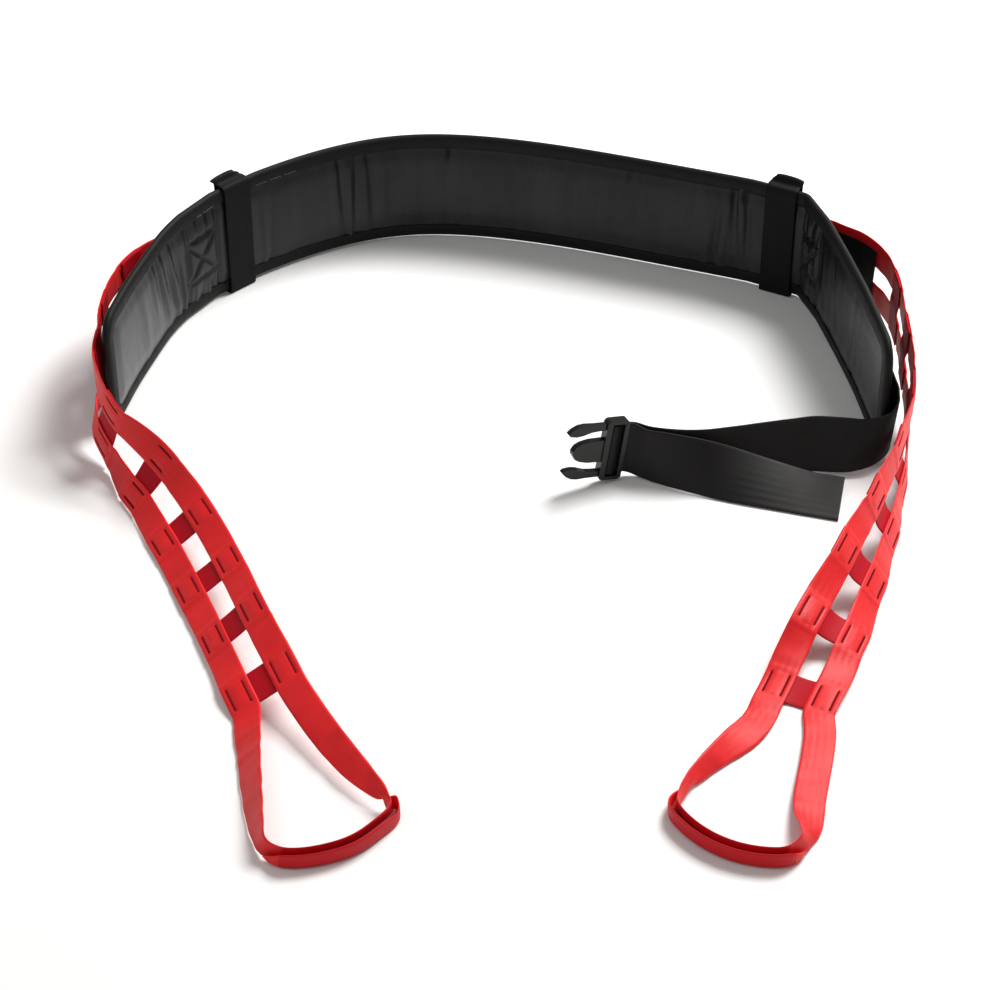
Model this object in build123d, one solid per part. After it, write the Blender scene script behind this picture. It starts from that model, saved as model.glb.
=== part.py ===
from build123d import *
import os
import math

os.makedirs("parts", exist_ok=True)

# Gait belt: a padded back panel on a waist webbing, with two ladder-like
# lifting straps, each ending in a rolled hand loop, and a side release buckle.
# Millimetres. +X is the wearer's side where the webbing comes out, +Y points to
# the middle of the back pad, +Z is up. The belt stands on the lower edge of
# its pad; the origin is the middle of the footprint, on the ground.

# ---------------------------------------------------------------- dimensions
PAD_H = 115.0          # height of the padded panel over its bindings
PAD_Z0 = 1.8           # the panel's lower edge; the keepers pass below it
BIND_T = 1.2           # binding tape thickness
BIND_W = 14.0          # binding tape width showing on each face
LINING_T = 1.2
FOAM_T = 6.0
COVER_T = 1.2
PAD_T = 2 * BIND_T + LINING_T + FOAM_T + COVER_T
BELT_W = 50.0          # waist webbing
BELT_T = 1.6
BELT_Z0 = 34.0         # lower edge of the waist webbing where it lies on the pad
RAIL_W = 25.0          # long straps of the ladder
RAIL_T = 1.8
RAIL_GAP = 17.0        # clear width between the two rails
LADDER_W = 2 * RAIL_W + RAIL_GAP
RUNG_W = 31.0          # cross straps
RUNG_T = 1.5
RUNG_PITCH = 73.0
KEEPER_W = 32.0        # keeper loop, along the pad
KEEPER_T = 1.4
KEEPER_H = 127.0       # overall, the loop stands above the pad
KEEPER_SLACK = 0.5
GRIP_H = 15.5          # rolled hand grip, section height
GRIP_T = 9.0           # rolled hand grip, section thickness
GRIP_WALL = 1.8
BUCKLE_W = 60.0        # side release buckle over the webbing slots
BUCKLE_T = 9.0
STITCH_T = 0.35        # how far thread stands proud
BOX_STITCH = 42.0      # side of the crossed box of stitching

# ---------------------------------------------------------------- shape tables
# plan line of the inner face of the pad, from its left end round to its right end (x, y)
PAD = [
    (-349.8, 107.5),
    (-336.86, 174.91),
    (-328.8, 205.9),
    (-320.6, 236.5),
    (-312.08, 266.11),
    (-300.34, 292.5),
    (-274.61, 331.8),
    (-235.97, 370.73),
    (-210.54, 390.48),
    (-183.64, 408.34),
    (-155.58, 423.64),
    (-126.46, 435.33),
    (-96.39, 442.36),
    (-65.54, 444.3),
    (-34.3, 442.1),
    (-3.06, 436.91),
    (27.84, 429.75),
    (58.41, 421.11),
    (88.75, 411.34),
    (118.96, 400.77),
    (149.13, 389.75),
    (179.36, 378.61),
    (209.73, 367.68),
    (239.3, 356.23),
    (287.0, 331.0),
    (300.9, 287.5),
    (307.2, 256.5),
    (313.6, 225.0),
    (318.8, 195.0),
    (324.3, 165.0),
    (336.3, 70.0),
]
# left ladder strap: distance from its front cross strap, centre point, width direction (towards the pad side / up)
LAD_L = [
    (0.0, -186.76, -278.04, 16.66, 0.8512, 0.2932, 0.4353),
    (31.0, -199.76, -248.84, 21.11, 0.8512, 0.2932, 0.4353),
    (45.0, -205.25, -235.74, 22.13, 0.7904, 0.2775, 0.5462),
    (59.0, -210.54, -222.68, 22.78, 0.7708, 0.2818, 0.5714),
    (73.0, -215.68, -209.67, 23.15, 0.7537, 0.2997, 0.5849),
    (104.0, -226.68, -181.06, 22.66, 0.7537, 0.2997, 0.5849),
    (118.0, -231.56, -168.23, 22.06, 0.7603, 0.3187, 0.5659),
    (132.0, -236.43, -155.45, 21.38, 0.7675, 0.3256, 0.5522),
    (146.0, -241.33, -142.74, 20.71, 0.7819, 0.3343, 0.5262),
    (177.0, -252.45, -114.81, 19.64, 0.7819, 0.3343, 0.5262),
    (191.0, -257.67, -102.3, 19.57, 0.7846, 0.3385, 0.5195),
    (205.0, -263.05, -89.86, 19.73, 0.7796, 0.3404, 0.5257),
    (219.0, -268.63, -77.49, 20.77, 0.7542, 0.3409, 0.5612),
    (250.0, -281.82, -50.34, 21.5, 0.7542, 0.3409, 0.5612),
    (264.0, -288.22, -38.2, 22.91, 0.7058, 0.328, 0.6279),
    (278.0, -294.94, -26.13, 24.29, 0.6729, 0.314, 0.6698),
    (292.0, -302.0, -14.15, 27.52, 0.5781, 0.2578, 0.7741),
    (323.0, -319.01, 12.12, 29.11, 0.5781, 0.2578, 0.7741),
    (337.0, -327.37, 23.85, 30.86, 0.4423, 0.1487, 0.8845),
    (351.0, -336.01, 35.52, 32.89, 0.3779, 0.0558, 0.9242),
    (365.0, -344.39, 47.19, 36.01, 0.3012, -0.2082, 0.9305),
    (396.0, -359.25, 73.36, 46.6, 0.3012, -0.2082, 0.9305),
    (410.0, -363.11, 85.48, 52.02, 0.1825, -0.3338, 0.9248),
    (424.0, -364.57, 97.88, 56.14, 0.0668, -0.2461, 0.9669),
    (438.0, -364.12, 110.57, 58.53, -0.0575, -0.0305, 0.9979),
    (469.0, -363.17, 139.62, 59.48, -0.0575, -0.0305, 0.9979),
    (483.0, -364.93, 153.09, 58.8, -0.0591, 0.0505, 0.997),
    (497.0, -367.08, 166.74, 57.97, -0.0178, 0.0538, 0.9984),
    (511.0, -368.46, 180.55, 57.34, 0.0413, 0.0134, 0.9991),
    (542.0, -367.33, 211.22, 56.88, 0.0413, 0.0134, 0.9991),
    (556.0, -364.93, 224.9, 56.99, 0.0365, -0.0214, 0.9991),
    (570.0, -361.36, 238.33, 57.23, 0.0212, -0.0283, 0.9994),
    (584.0, -356.62, 251.4, 57.55, -0.0165, -0.0192, 0.9997),
    (615.0, -341.93, 278.62, 58.31, -0.0165, -0.0192, 0.9997),
]
# right ladder strap, the same
LAD_R = [
    (0.0, 232.77, -272.61, 2.46, -0.9059, 0.4235, 0.0056),
    (31.0, 245.6, -245.24, 7.12, -0.9059, 0.4235, 0.0056),
    (45.0, 251.45, -232.82, 10.15, -0.8986, 0.3771, 0.2242),
    (59.0, 257.33, -220.34, 13.22, -0.8811, 0.3467, 0.3215),
    (73.0, 263.21, -207.82, 18.78, -0.8196, 0.2784, 0.5007),
    (104.0, 276.18, -179.91, 21.35, -0.8196, 0.2784, 0.5007),
    (118.0, 281.98, -167.22, 23.38, -0.7376, 0.2192, 0.6387),
    (132.0, 287.73, -154.48, 25.18, -0.6942, 0.1973, 0.6922),
    (146.0, 293.42, -141.68, 27.88, -0.5956, 0.1672, 0.7857),
    (177.0, 305.72, -113.14, 30.13, -0.5956, 0.1672, 0.7857),
    (191.0, 311.11, -100.15, 30.91, -0.4923, 0.1512, 0.8572),
    (205.0, 316.38, -87.1, 31.45, -0.4452, 0.1416, 0.8842),
    (219.0, 321.51, -73.99, 32.23, -0.352, 0.1126, 0.9292),
    (250.0, 332.33, -44.71, 32.62, -0.352, 0.1126, 0.9292),
    (264.0, 336.93, -31.37, 33.12, -0.2668, 0.0723, 0.961),
    (278.0, 341.35, -17.97, 33.41, -0.2294, 0.0478, 0.9722),
    (292.0, 345.55, -4.49, 33.76, -0.1559, -0.0156, 0.9876),
    (323.0, 354.07, 25.62, 35.27, -0.1559, -0.0156, 0.9876),
    (337.0, 357.52, 39.34, 36.52, -0.0869, -0.0928, 0.9919),
    (351.0, 360.59, 53.13, 38.29, -0.056, -0.1382, 0.9888),
    (365.0, 363.16, 66.98, 40.69, 0.0043, -0.2334, 0.9724),
    (396.0, 366.49, 97.79, 48.06, 0.0043, -0.2334, 0.9724),
    (410.0, 367.2, 111.73, 51.23, 0.0362, -0.1927, 0.9806),
    (424.0, 367.68, 125.68, 53.41, 0.0341, -0.1208, 0.9921),
    (438.0, 368.02, 139.63, 54.69, 0.0092, -0.0304, 0.9995),
    (469.0, 368.58, 170.42, 55.62, 0.0092, -0.0304, 0.9995),
    (483.0, 368.86, 184.26, 55.79, -0.0168, -0.0171, 0.9997),
    (497.0, 369.17, 198.04, 56.14, -0.0217, -0.0313, 0.9993),
    (511.0, 369.26, 211.72, 56.65, -0.0113, -0.0491, 0.9987),
    (542.0, 367.1, 241.43, 58.08, -0.0113, -0.0491, 0.9987),
    (556.0, 364.35, 254.5, 58.74, 0.0184, -0.0438, 0.9989),
    (570.0, 360.07, 267.29, 59.33, 0.032, -0.0288, 0.9991),
    (584.0, 354.06, 279.76, 59.78, 0.0374, 0.0168, 0.9992),
    (615.0, 335.45, 306.01, 60.04, 0.0374, 0.0168, 0.9992),
]
# hand loop sides: centre point, width direction, share of the full strap width
LEG_LO = [
    (-202.16, -301.13, 7.55, 0.8597, 0.1042, 0.5, 1),
    (-198.16, -334.13, 9.66, 0.7376, 0.0909, 0.6691, 1),
    (-193.16, -374.13, 10.88, 0.6366, 0.0891, 0.766, 1),
    (-187.66, -409.13, 11.37, 0.5217, 0.0928, 0.848, 0.95),
    (-182.66, -433.13, 11.4, 0.297, 0.0854, 0.9511, 0.85),
    (-177.16, -445.63, 9.02, 0.0798, 0.0351, 0.9962, 0.62),
]
LEG_LI = [
    (-151.66, -302.13, 20.0, 0.7236, 0.4422, 0.5299, 1),
    (-129.66, -338.13, 16.5, 0.6686, 0.4368, 0.6018, 0.96),
    (-111.16, -364.13, 14.5, 0.6268, 0.4776, 0.6157, 0.82),
    (-97.66, -380.13, 13.0, 0.5322, 0.4656, 0.7071, 0.6),
    (-86.66, -392.13, 11.0, 0.2521, 0.2311, 0.9397, 0.45),
]
LEG_RO = [
    (250.84, -301.13, 1.95, -0.985, 0.1642, 0.0523, 1),
    (245.34, -334.13, 2.61, -0.9767, 0.1872, 0.1045, 1),
    (239.34, -361.13, 3.04, -0.9677, 0.21, 0.1392, 1),
    (233.84, -387.13, 3.9, -0.9643, 0.1638, 0.2079, 1),
    (230.34, -414.13, 7.24, -0.8548, 0.1391, 0.5, 0.95),
    (226.84, -430.13, 10.13, -0.4523, 0.1257, 0.8829, 0.8),
    (222.84, -441.13, 9.01, -0.0982, 0.0357, 0.9945, 0.62),
]
LEG_RI = [
    (200.84, -294.13, 2.39, -0.8322, 0.5475, 0.0872, 1),
    (188.34, -313.13, 5.58, -0.7423, 0.5762, 0.342, 1),
    (171.34, -332.13, 7.61, -0.592, 0.52, 0.6157, 0.82),
    (155.84, -350.13, 8.0, -0.4762, 0.3902, 0.788, 0.68),
    (141.84, -368.13, 7.7, -0.3786, 0.2776, 0.8829, 0.58),
    (133.84, -380.13, 7.48, -0.2684, 0.1532, 0.9511, 0.52),
    (130.14, -388.63, 7.52, -0.0958, 0.0417, 0.9945, 0.5),
]
# rolled hand grips: centre line
GRIP_L = [
    (-167.05, -451.73, 8.7),
    (-152.1, -452.26, 8.7),
    (-133.67, -448.04, 8.7),
    (-113.88, -439.02, 8.7),
    (-95.03, -420.26, 8.7),
    (-82.09, -397.92, 8.7),
]
GRIP_R = [
    (128.21, -397.92, 8.7),
    (136.43, -414.3, 8.7),
    (151.26, -431.55, 8.7),
    (172.83, -445.39, 8.7),
    (194.8, -451.21, 8.7),
    (214.3, -450.15, 8.7),
]
# waist webbing leaving the pad: lower edge point, upper edge point
BELT_END = [
    (339.3, 138.07, 34.0, 339.3, 138.07, 84.0),
    (343.94, 110.97, 28.0, 345.44, 111.97, 77.97),
    (347.24, 85.97, 20.5, 351.09, 91.03, 70.09),
    (348.74, 72.37, 16.8, 353.33, 80.03, 66.0),
]
# waist strap in front of the pad: lower edge point, upper edge point
STRAP = [
    (348.44, 70.07, 16.2, 353.11, 77.89, 65.36),
    (344.84, 56.87, 13.0, 352.69, 69.95, 60.62),
    (331.84, 43.67, 9.5, 345.91, 62.12, 53.79),
    (311.34, 37.37, 6.0, 327.19, 62.64, 46.13),
    (293.34, 39.37, 4.0, 302.3, 68.25, 43.83),
    (275.34, 41.87, 3.0, 280.27, 70.93, 43.39),
    (255.34, 38.87, 2.2, 259.26, 67.29, 43.15),
    (229.34, 33.87, 1.8, 233.32, 62.23, 42.79),
    (203.34, 28.37, 1.8, 206.39, 52.22, 45.64),
    (171.34, 26.37, 1.8, 174.36, 41.49, 49.36),
    (143.34, 32.37, 1.8, 146.37, 40.46, 51.05),
    (126.34, 38.87, 2.0, 130.35, 43.09, 51.66),
    (107.9, 41.03, 5.39, 114.9, 46.03, 54.64),
    (99.71, 37.61, 6.9, 106.71, 42.61, 56.15),
    (94.22, 36.39, 7.8, 101.22, 41.39, 57.06),
    (90.98, 34.94, 8.41, 97.98, 39.94, 57.67),
    (89.33, 32.81, 8.86, 96.33, 37.81, 58.12),
    (89.51, 30.93, 9.03, 96.51, 35.93, 58.28),
    (90.95, 29.59, 8.96, 97.96, 34.59, 58.21),
    (93.03, 29.29, 8.69, 100.03, 34.29, 57.95),
    (95.06, 30.06, 8.33, 102.06, 35.06, 57.58),
    (96.59, 31.48, 7.97, 103.59, 36.48, 57.22),
    (97.65, 33.46, 7.61, 104.66, 38.46, 56.87),
    (100.07, 35.32, 7.08, 107.07, 40.32, 56.34),
    (106.41, 38.05, 5.9, 113.41, 43.05, 55.16),
]
# loose tail of the waist strap
TAIL = [
    (107.85, 38.67, 5.63, 114.86, 43.67, 54.89),
    (123.34, 34.87, 1.6, 127.35, 38.88, 51.28),
    (140.34, 24.87, 1.4, 143.41, 36.11, 50.02),
    (174.34, 8.87, 1.3, 176.31, 32.51, 45.32),
    (209.04, -3.93, 1.3, 211.39, 35.73, 31.66),
    (243.34, -14.13, 1.3, 248.06, 32.05, 19.88),
    (265.34, -20.63, 1.3, 273.37, 27.05, 14.05),
    (292.74, -28.53, 1.3, 302.88, 18.88, 13.55),
]
# plan line of the short webbing that holds the female half
FEM_LOOP = [
    (-323.67, 272.7),
    (-328.52, 262.18),
    (-330.62, 255.82),
    (-332.22, 253.92),
    (-334.37, 253.77),
    (-336.03, 255.15),
    (-336.23, 257.63),
    (-333.66, 263.84),
    (-326.79, 272.13),
]
MALE_O = (107.04, 39.07, 31.9)
MALE_X = (-0.90526, -0.39011, 0.16827)
MALE_Z = (0.14001, 0.10001, 0.98509)
FEM_O = (-335.66, 249.77, 59.0)
FEM_X = (-0.30601, -0.95203, 0.0)
FEM_Z = (0.0, 0.0, 1.0)
BELT_END_RUN = 70.9    # the waist webbing leaves the face of the pad this far before its right end
BELT_START = 164.5      # where the waist webbing starts, from the left end of the pad
LSIGN_L = 1.0
LSIGN_R = -1.0

# ---------------------------------------------------------------- vector helpers
def vadd(a, b, k=1.0):
    return (a[0] + b[0] * k, a[1] + b[1] * k, a[2] + b[2] * k)


def vsub(a, b):
    return (a[0] - b[0], a[1] - b[1], a[2] - b[2])


def vcross(a, b):
    return (a[1] * b[2] - a[2] * b[1], a[2] * b[0] - a[0] * b[2], a[0] * b[1] - a[1] * b[0])


def vdot(a, b):
    return a[0] * b[0] + a[1] * b[1] + a[2] * b[2]


def vunit(a):
    n = math.sqrt(vdot(a, a))
    return (a[0] / n, a[1] / n, a[2] / n)


def poly_face(points):
    return Face(Wire.make_polygon([Vector(*p) for p in points], close=True))


def turned_face(points, normal):
    """Flat face whose normal points the wanted way."""
    f = poly_face(points)
    k = f.normal_at()
    if k.X * normal[0] + k.Y * normal[1] + k.Z * normal[2] < 0:
        f = -f
    return f


def facet_solid(rings):
    """Closed solid skinned with flat triangles over a row of closed rings."""
    n = len(rings[0])
    faces = []
    mids = [tuple(sum(p[j] for p in r) / n for j in range(3)) for r in rings]
    area = (0.0, 0.0, 0.0)
    for i in range(n):
        area = vadd(area, vcross(vsub(rings[0][i], mids[0]), vsub(rings[0][(i + 1) % n], mids[0])))
    way = 1.0 if vdot(area, vsub(mids[1], mids[0])) > 0 else -1.0
    for r0, r1 in zip(rings[:-1], rings[1:]):
        for i in range(n):
            j = (i + 1) % n
            a, b, c, d = r0[i], r0[j], r1[j], r1[i]
            nrm = vcross(vsub(b, a), vsub(d, a))
            size = math.sqrt(vdot(nrm, nrm))
            off = abs(vdot(vsub(c, a), nrm)) / max(size, 1e-9)
            if off < 1e-8:
                faces.append(turned_face([a, b, c, d], tuple(x * way for x in nrm)))
            else:
                # the two broad sides of a strap are split along the same diagonal
                tris = ((a, b, c), (a, c, d)) if i < n // 2 else ((a, b, d), (b, c, d))
                for p, q, r in tris:
                    k = vcross(vsub(q, p), vsub(r, p))
                    faces.append(turned_face([p, q, r], tuple(x * way for x in k)))
    faces.append(turned_face(rings[0], vsub(mids[0], mids[1])))
    faces.append(turned_face(rings[-1], vsub(mids[-1], mids[-2])))
    solid = Solid(Shell(faces))
    return solid


def save(name, shape):
    shape.label = name
    export_step(shape, "parts/" + name + ".step")


# ---------------------------------------------------------------- pad helpers
def offset_line(pts, d):
    """The plan line of the pad moved outwards by d, with mitred corners."""
    out = []
    n = len(pts)
    for i in range(n):
        ns = []
        for a, b in ((i - 1, i), (i, i + 1)):
            if a < 0 or b >= n:
                continue
            dx, dy = pts[b][0] - pts[a][0], pts[b][1] - pts[a][1]
            l = math.hypot(dx, dy)
            ns.append((-dy / l, dx / l))
        if len(ns) == 1:
            m = ns[0]
            k = 1.0
        else:
            mx, my = ns[0][0] + ns[1][0], ns[0][1] + ns[1][1]
            l = math.hypot(mx, my)
            m = (mx / l, my / l)
            k = 1.0 / (m[0] * ns[0][0] + m[1] * ns[0][1])
        out.append((pts[i][0] + m[0] * d * k, pts[i][1] + m[1] * d * k))
    return out


def trim(pts, s0, s1):
    """Part of a plan line between two distances along it."""
    out = []
    run = 0.0
    for a, b in zip(pts[:-1], pts[1:]):
        l = math.hypot(b[0] - a[0], b[1] - a[1])
        if run + l > s0 and run < s1:
            t0 = max(0.0, (s0 - run) / l)
            t1 = min(1.0, (s1 - run) / l)
            if not out:
                out.append((a[0] + (b[0] - a[0]) * t0, a[1] + (b[1] - a[1]) * t0))
            out.append((a[0] + (b[0] - a[0]) * t1, a[1] + (b[1] - a[1]) * t1))
        run += l
    return out


def length(pts):
    return sum(math.hypot(b[0] - a[0], b[1] - a[1]) for a, b in zip(pts[:-1], pts[1:]))


def wall(pts, d0, d1, z0, z1):
    """Upright band that follows the pad between offsets d0 and d1."""
    a = offset_line(pts, d0)
    b = offset_line(pts, d1)
    ring = a + b[::-1]
    f = Face(Wire.make_polygon([Vector(x, y, z0) for x, y in ring], close=True))
    return Solid.extrude(f, Vector(0, 0, z1 - z0))


PAD_L = length(PAD)
D_LIN0 = BIND_T
D_LIN1 = D_LIN0 + LINING_T
D_FOAM1 = D_LIN1 + FOAM_T
D_COV1 = D_FOAM1 + COVER_T
D_OUT = D_COV1 + BIND_T
D_BELT1 = D_OUT + BELT_T
PAD_Z1 = PAD_Z0 + PAD_H
Z_IN0 = PAD_Z0 + BIND_T
Z_IN1 = PAD_Z1 - BIND_T

# ---------------------------------------------------------------- padded panel
inner_line = trim(PAD, BIND_T, PAD_L - BIND_T)
save("pad_inner_lining", wall(inner_line, D_LIN0, D_LIN1, Z_IN0, Z_IN1))
save("pad_foam_core", wall(inner_line, D_LIN1, D_FOAM1, Z_IN0, Z_IN1))
save("pad_outer_cover", wall(inner_line, D_FOAM1, D_COV1, Z_IN0, Z_IN1))


def edge_binding(z_low, z_high, z_cap0, z_cap1):
    a = wall(PAD, 0.0, BIND_T, z_low, z_high)
    b = wall(PAD, D_COV1, D_OUT, z_low, z_high)
    c = wall(PAD, BIND_T, D_COV1, z_cap0, z_cap1)
    return a.fuse(c).fuse(b)


top_binding = edge_binding(PAD_Z1 - BIND_W, PAD_Z1, Z_IN1, PAD_Z1)
bottom_binding = edge_binding(PAD_Z0, PAD_Z0 + BIND_W, PAD_Z0, Z_IN0)
save("top_edge_binding", top_binding)
save("bottom_edge_binding", bottom_binding)


def end_binding(at_start):
    if at_start:
        legs = trim(PAD, 0.0, BIND_W)
        cap = trim(PAD, 0.0, BIND_T)
    else:
        legs = trim(PAD, PAD_L - BIND_W, PAD_L)
        cap = trim(PAD, PAD_L - BIND_T, PAD_L)
    z0, z1 = PAD_Z0 + BIND_W, PAD_Z1 - BIND_W
    a = wall(legs, 0.0, BIND_T, z0, z1)
    b = wall(legs, D_COV1, D_OUT, z0, z1)
    c = wall(cap, BIND_T, D_COV1, z0, z1)
    return a.fuse(c).fuse(b)


save("left_end_binding", end_binding(True))
save("right_end_binding", end_binding(False))

# waist webbing sewn to the outside of the panel
belt_line = trim(PAD, BELT_START, PAD_L - BELT_END_RUN)
save("waist_belt_back", wall(belt_line, D_OUT, D_BELT1, BELT_Z0, BELT_Z0 + BELT_W))


def facet_frame(i0, i1):
    """Start, direction, outward normal and length of one straight stretch."""
    a, b = PAD[i0], PAD[i1]
    l = math.hypot(b[0] - a[0], b[1] - a[1])
    t = ((b[0] - a[0]) / l, (b[1] - a[1]) / l)
    return a, t, (-t[1], t[0]), l


def facet_point(fr, s, d, z):
    a, t, n, _ = fr
    return (a[0] + t[0] * s + n[0] * d, a[1] + t[1] * s + n[1] * d, z)


def facet_box(fr, s0, s1, d0, d1, z0, z1):
    f = poly_face([facet_point(fr, s0, d0, z0), facet_point(fr, s1, d0, z0),
                   facet_point(fr, s1, d1, z0), facet_point(fr, s0, d1, z0)])
    return Solid.extrude(f, Vector(0, 0, z1 - z0))


def facet_bar(fr, p, q, wid, d0, d1):
    """Thread bar on the panel's face between two (s, z) points."""
    ds, dz = q[0] - p[0], q[1] - p[1]
    l = math.hypot(ds, dz)
    u = (-dz / l * wid / 2, ds / l * wid / 2)
    ring = [(p[0] + u[0], p[1] + u[1]), (q[0] + u[0], q[1] + u[1]),
            (q[0] - u[0], q[1] - u[1]), (p[0] - u[0], p[1] - u[1])]
    f = poly_face([facet_point(fr, s, d0, z) for s, z in ring])
    v = vsub(facet_point(fr, 0, d1, 0), facet_point(fr, 0, d0, 0))
    return Solid.extrude(f, Vector(*v))


def box_stitch(fr, s_mid):
    """Crossed square of stitching that holds strap, webbing and panel together."""
    h = BOX_STITCH / 2
    zc = BELT_Z0 + BELT_W / 2
    d0, d1 = D_LIN0 - STITCH_T, D_LIN0
    c = [(s_mid - h, zc - h), (s_mid + h, zc - h), (s_mid + h, zc + h), (s_mid - h, zc + h)]
    out = None
    for p, q in ((c[0], c[1]), (c[1], c[2]), (c[2], c[3]), (c[3], c[0]), (c[0], c[2]), (c[1], c[3])):
        bar = facet_bar(fr, p, q, 1.2, d0, d1)
        out = bar if out is None else out.fuse(bar)
    return out


FR_XL = facet_frame(5, 6)
FR_KL = facet_frame(6, 7)
FR_KR = facet_frame(23, 24)
FR_XR = facet_frame(24, 25)
save("left_box_stitching", box_stitch(FR_XL, FR_XL[3] / 2))
save("right_box_stitching", box_stitch(FR_XR, FR_XR[3] / 2))

# black patches: the folded-under ends of the ladder straps, sewn outside the waist webbing
D_TAB0 = D_BELT1
D_TAB1 = D_TAB0 + RUNG_T
save("left_anchor_patch", facet_box(FR_XL, 1.5, FR_XL[3] - 1.0, D_TAB0, D_TAB1, BELT_Z0, BELT_Z0 + BELT_W))
save("right_anchor_patch", facet_box(FR_XR, 1.0, FR_XR[3] - 1.5, D_TAB0, D_TAB1, BELT_Z0, BELT_Z0 + BELT_W))


# ---------------------------------------------------------------- keepers
def keeper(fr, shift):
    """Loose webbing loop round panel and webbing; it slides along the belt."""
    a, t, n, l = fr
    s0 = (l - KEEPER_W) / 2 + shift
    di, do = -KEEPER_SLACK, D_BELT1 + KEEPER_SLACK + 0.3
    zi0, zi1 = KEEPER_T, KEEPER_H - KEEPER_T
    tk = KEEPER_T
    k = 4.0
    outer = [(di - tk, 0.0), (do + tk, 0.0), (do + tk, zi1 - k), (do + tk - k, zi1 + tk), (di - tk + k, zi1 + tk), (di - tk, zi1 - k)]
    inner = [(di, zi0), (do, zi0), (do, zi1 - k - 0.6), (do + tk - k - 1.0, zi1), (di - tk + k + 1.0, zi1), (di, zi1 - k - 0.6)]
    fo = poly_face([facet_point(fr, s0, d, z) for d, z in outer])
    fi = poly_face([facet_point(fr, s0 - 1, d, z) for d, z in inner])
    v = Vector(t[0] * KEEPER_W, t[1] * KEEPER_W, 0)
    v2 = Vector(t[0] * (KEEPER_W + 2), t[1] * (KEEPER_W + 2), 0)
    return Solid.extrude(fo, v).cut(Solid.extrude(fi, v2))


save("left_keeper_loop", keeper(FR_KL, 0.0))
save("right_keeper_loop", keeper(FR_KR, 5.0))


# ---------------------------------------------------------------- ribbons
def ribbon(stations, u0, u1, n0, n1, cuts=()):
    """Flat strap. stations: (centre, width direction, normal)."""
    us = [u0] + [c for c in cuts if u0 < c < u1] + [u1]
    rings = []
    for station in stations:
        c, w, n = station[:3]
        k = station[3] if len(station) > 3 else 1.0
        low = [vadd(vadd(c, w, u * k), n, n0) for u in us]
        high = [vadd(vadd(c, w, u * k), n, n1) for u in reversed(us)]
        rings.append(low + high)
    return facet_solid(rings)


def normals(cs, ws, sign, square=True):
    """Stations with unit normals; the width is kept as drawn when square is off."""
    out = []
    m = len(cs)
    for i in range(m):
        t = vunit(vsub(cs[min(i + 1, m - 1)], cs[max(i - 1, 0)]))
        w = ws[i]
        if square:
            w = vunit(vadd(w, t, -vdot(w, t)))
        n = vcross(w, t)
        out.append((cs[i], w, tuple(x * sign for x in vunit(n))))
    return out


def ladder(side, rows, sign, hinge_xy):
    """Two long straps tied by cross straps; rows run from the hand loop back."""
    cs = [(r[1], r[2], r[3]) for r in rows]
    ws = [(r[4], r[5], r[6]) for r in rows]
    st = normals(cs, ws, sign)
    # the frame is held flat over each cross strap
    zones = []
    i = 0
    k = 8
    while i < len(rows) - 1 and k >= 0:
        a, b = cs[i], cs[i + 1]
        t = vunit(vsub(b, a))
        w = vunit(vadd(ws[i], t, -vdot(ws[i], t)))
        n = vunit(tuple(x * sign for x in vcross(w, t)))
        st[i] = (a, w, n)
        st[i + 1] = (b, w, n)
        zones.append((k, i))
        i += 4
        k -= 1
    # carry the long straps on, over the black tab, to the fold line on the pad
    last = st[-1]
    zc = last[0][2]
    hinge = (hinge_xy[0], hinge_xy[1], zc)
    run = vsub(hinge, last[0])
    dist = math.sqrt(vdot(run, run))
    t = vunit(run)
    wz = (0.0, 0.0, 1.0)
    nz = vunit(tuple(x * sign for x in vcross(wz, t)))
    q = vadd(hinge, t, -min(TAB_LEN[side], dist - 10.0))
    mid_w = vunit(tuple(last[1][j] + wz[j] for j in range(3)))
    first = st[0]
    t0 = vunit(vsub(st[1][0], st[0][0]))
    st[0] = (vadd(first[0], t0, LOOP_GAP), first[1], first[2])
    full = st + [(q, wz, nz), (hinge, wz, nz)]
    # on the right the tab is longer and takes the place of the last cross strap
    long_tab = TAB_LEN[side] > 70.0
    tab_run = [(vadd(c, n, -0.35), w, n) for c, w, n in full[-4:-1]] + [full[-1]] if long_tab else full[-2:]
    save(side + "_ladder_tab", ribbon(tab_run, -BELT_W / 2, BELT_W / 2, -RUNG_T, 0.0))
    h = LADDER_W / 2
    g = RAIL_GAP / 2
    save(side + "_ladder_inner_rail", ribbon(full, g, h, 0.0, RAIL_T))
    save(side + "_ladder_outer_rail", ribbon(full, -h, -g, 0.0, RAIL_T))
    threads = []
    for k, i in zones[:-1] if long_tab else zones:
        pair = [st[i], st[i + 1]]
        save(side + "_rung_" + str(8 - k + 1), ribbon(pair, -h + 0.4, h - 0.4, -RUNG_T, 0.0))
        (a, w, n), (b, _, _) = pair
        t = vunit(vsub(b, a))
        l = math.sqrt(vdot(vsub(b, a), vsub(b, a)))
        for u in (-h + 5.0, -g - 5.0, g + 5.0, h - 5.0):
            p = vadd(vadd(a, t, l / 2 - 12.0), w, u)
            q = vadd(p, t, 24.0)
            threads.append(ribbon([(p, w, n), (q, w, n)], -0.9, 0.9, RAIL_T, RAIL_T + STITCH_T))
    save(side + "_ladder_bartacks", Compound(children=threads))
    return first, full


def leg(rows, start, sign):
    """One side of a hand loop. rows: (x, y, z, wx, wy, wz, width share)."""
    cs = [start[0]] + [(r[0], r[1], r[2]) for r in rows]
    ws = [start[1]] + [vunit((r[3], r[4], r[5])) for r in rows]
    st = normals(cs, ws, sign)
    st[0] = start
    return [st[0] + (1.0,)] + [a + (r[6],) for a, r in zip(st[1:], rows)]


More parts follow.
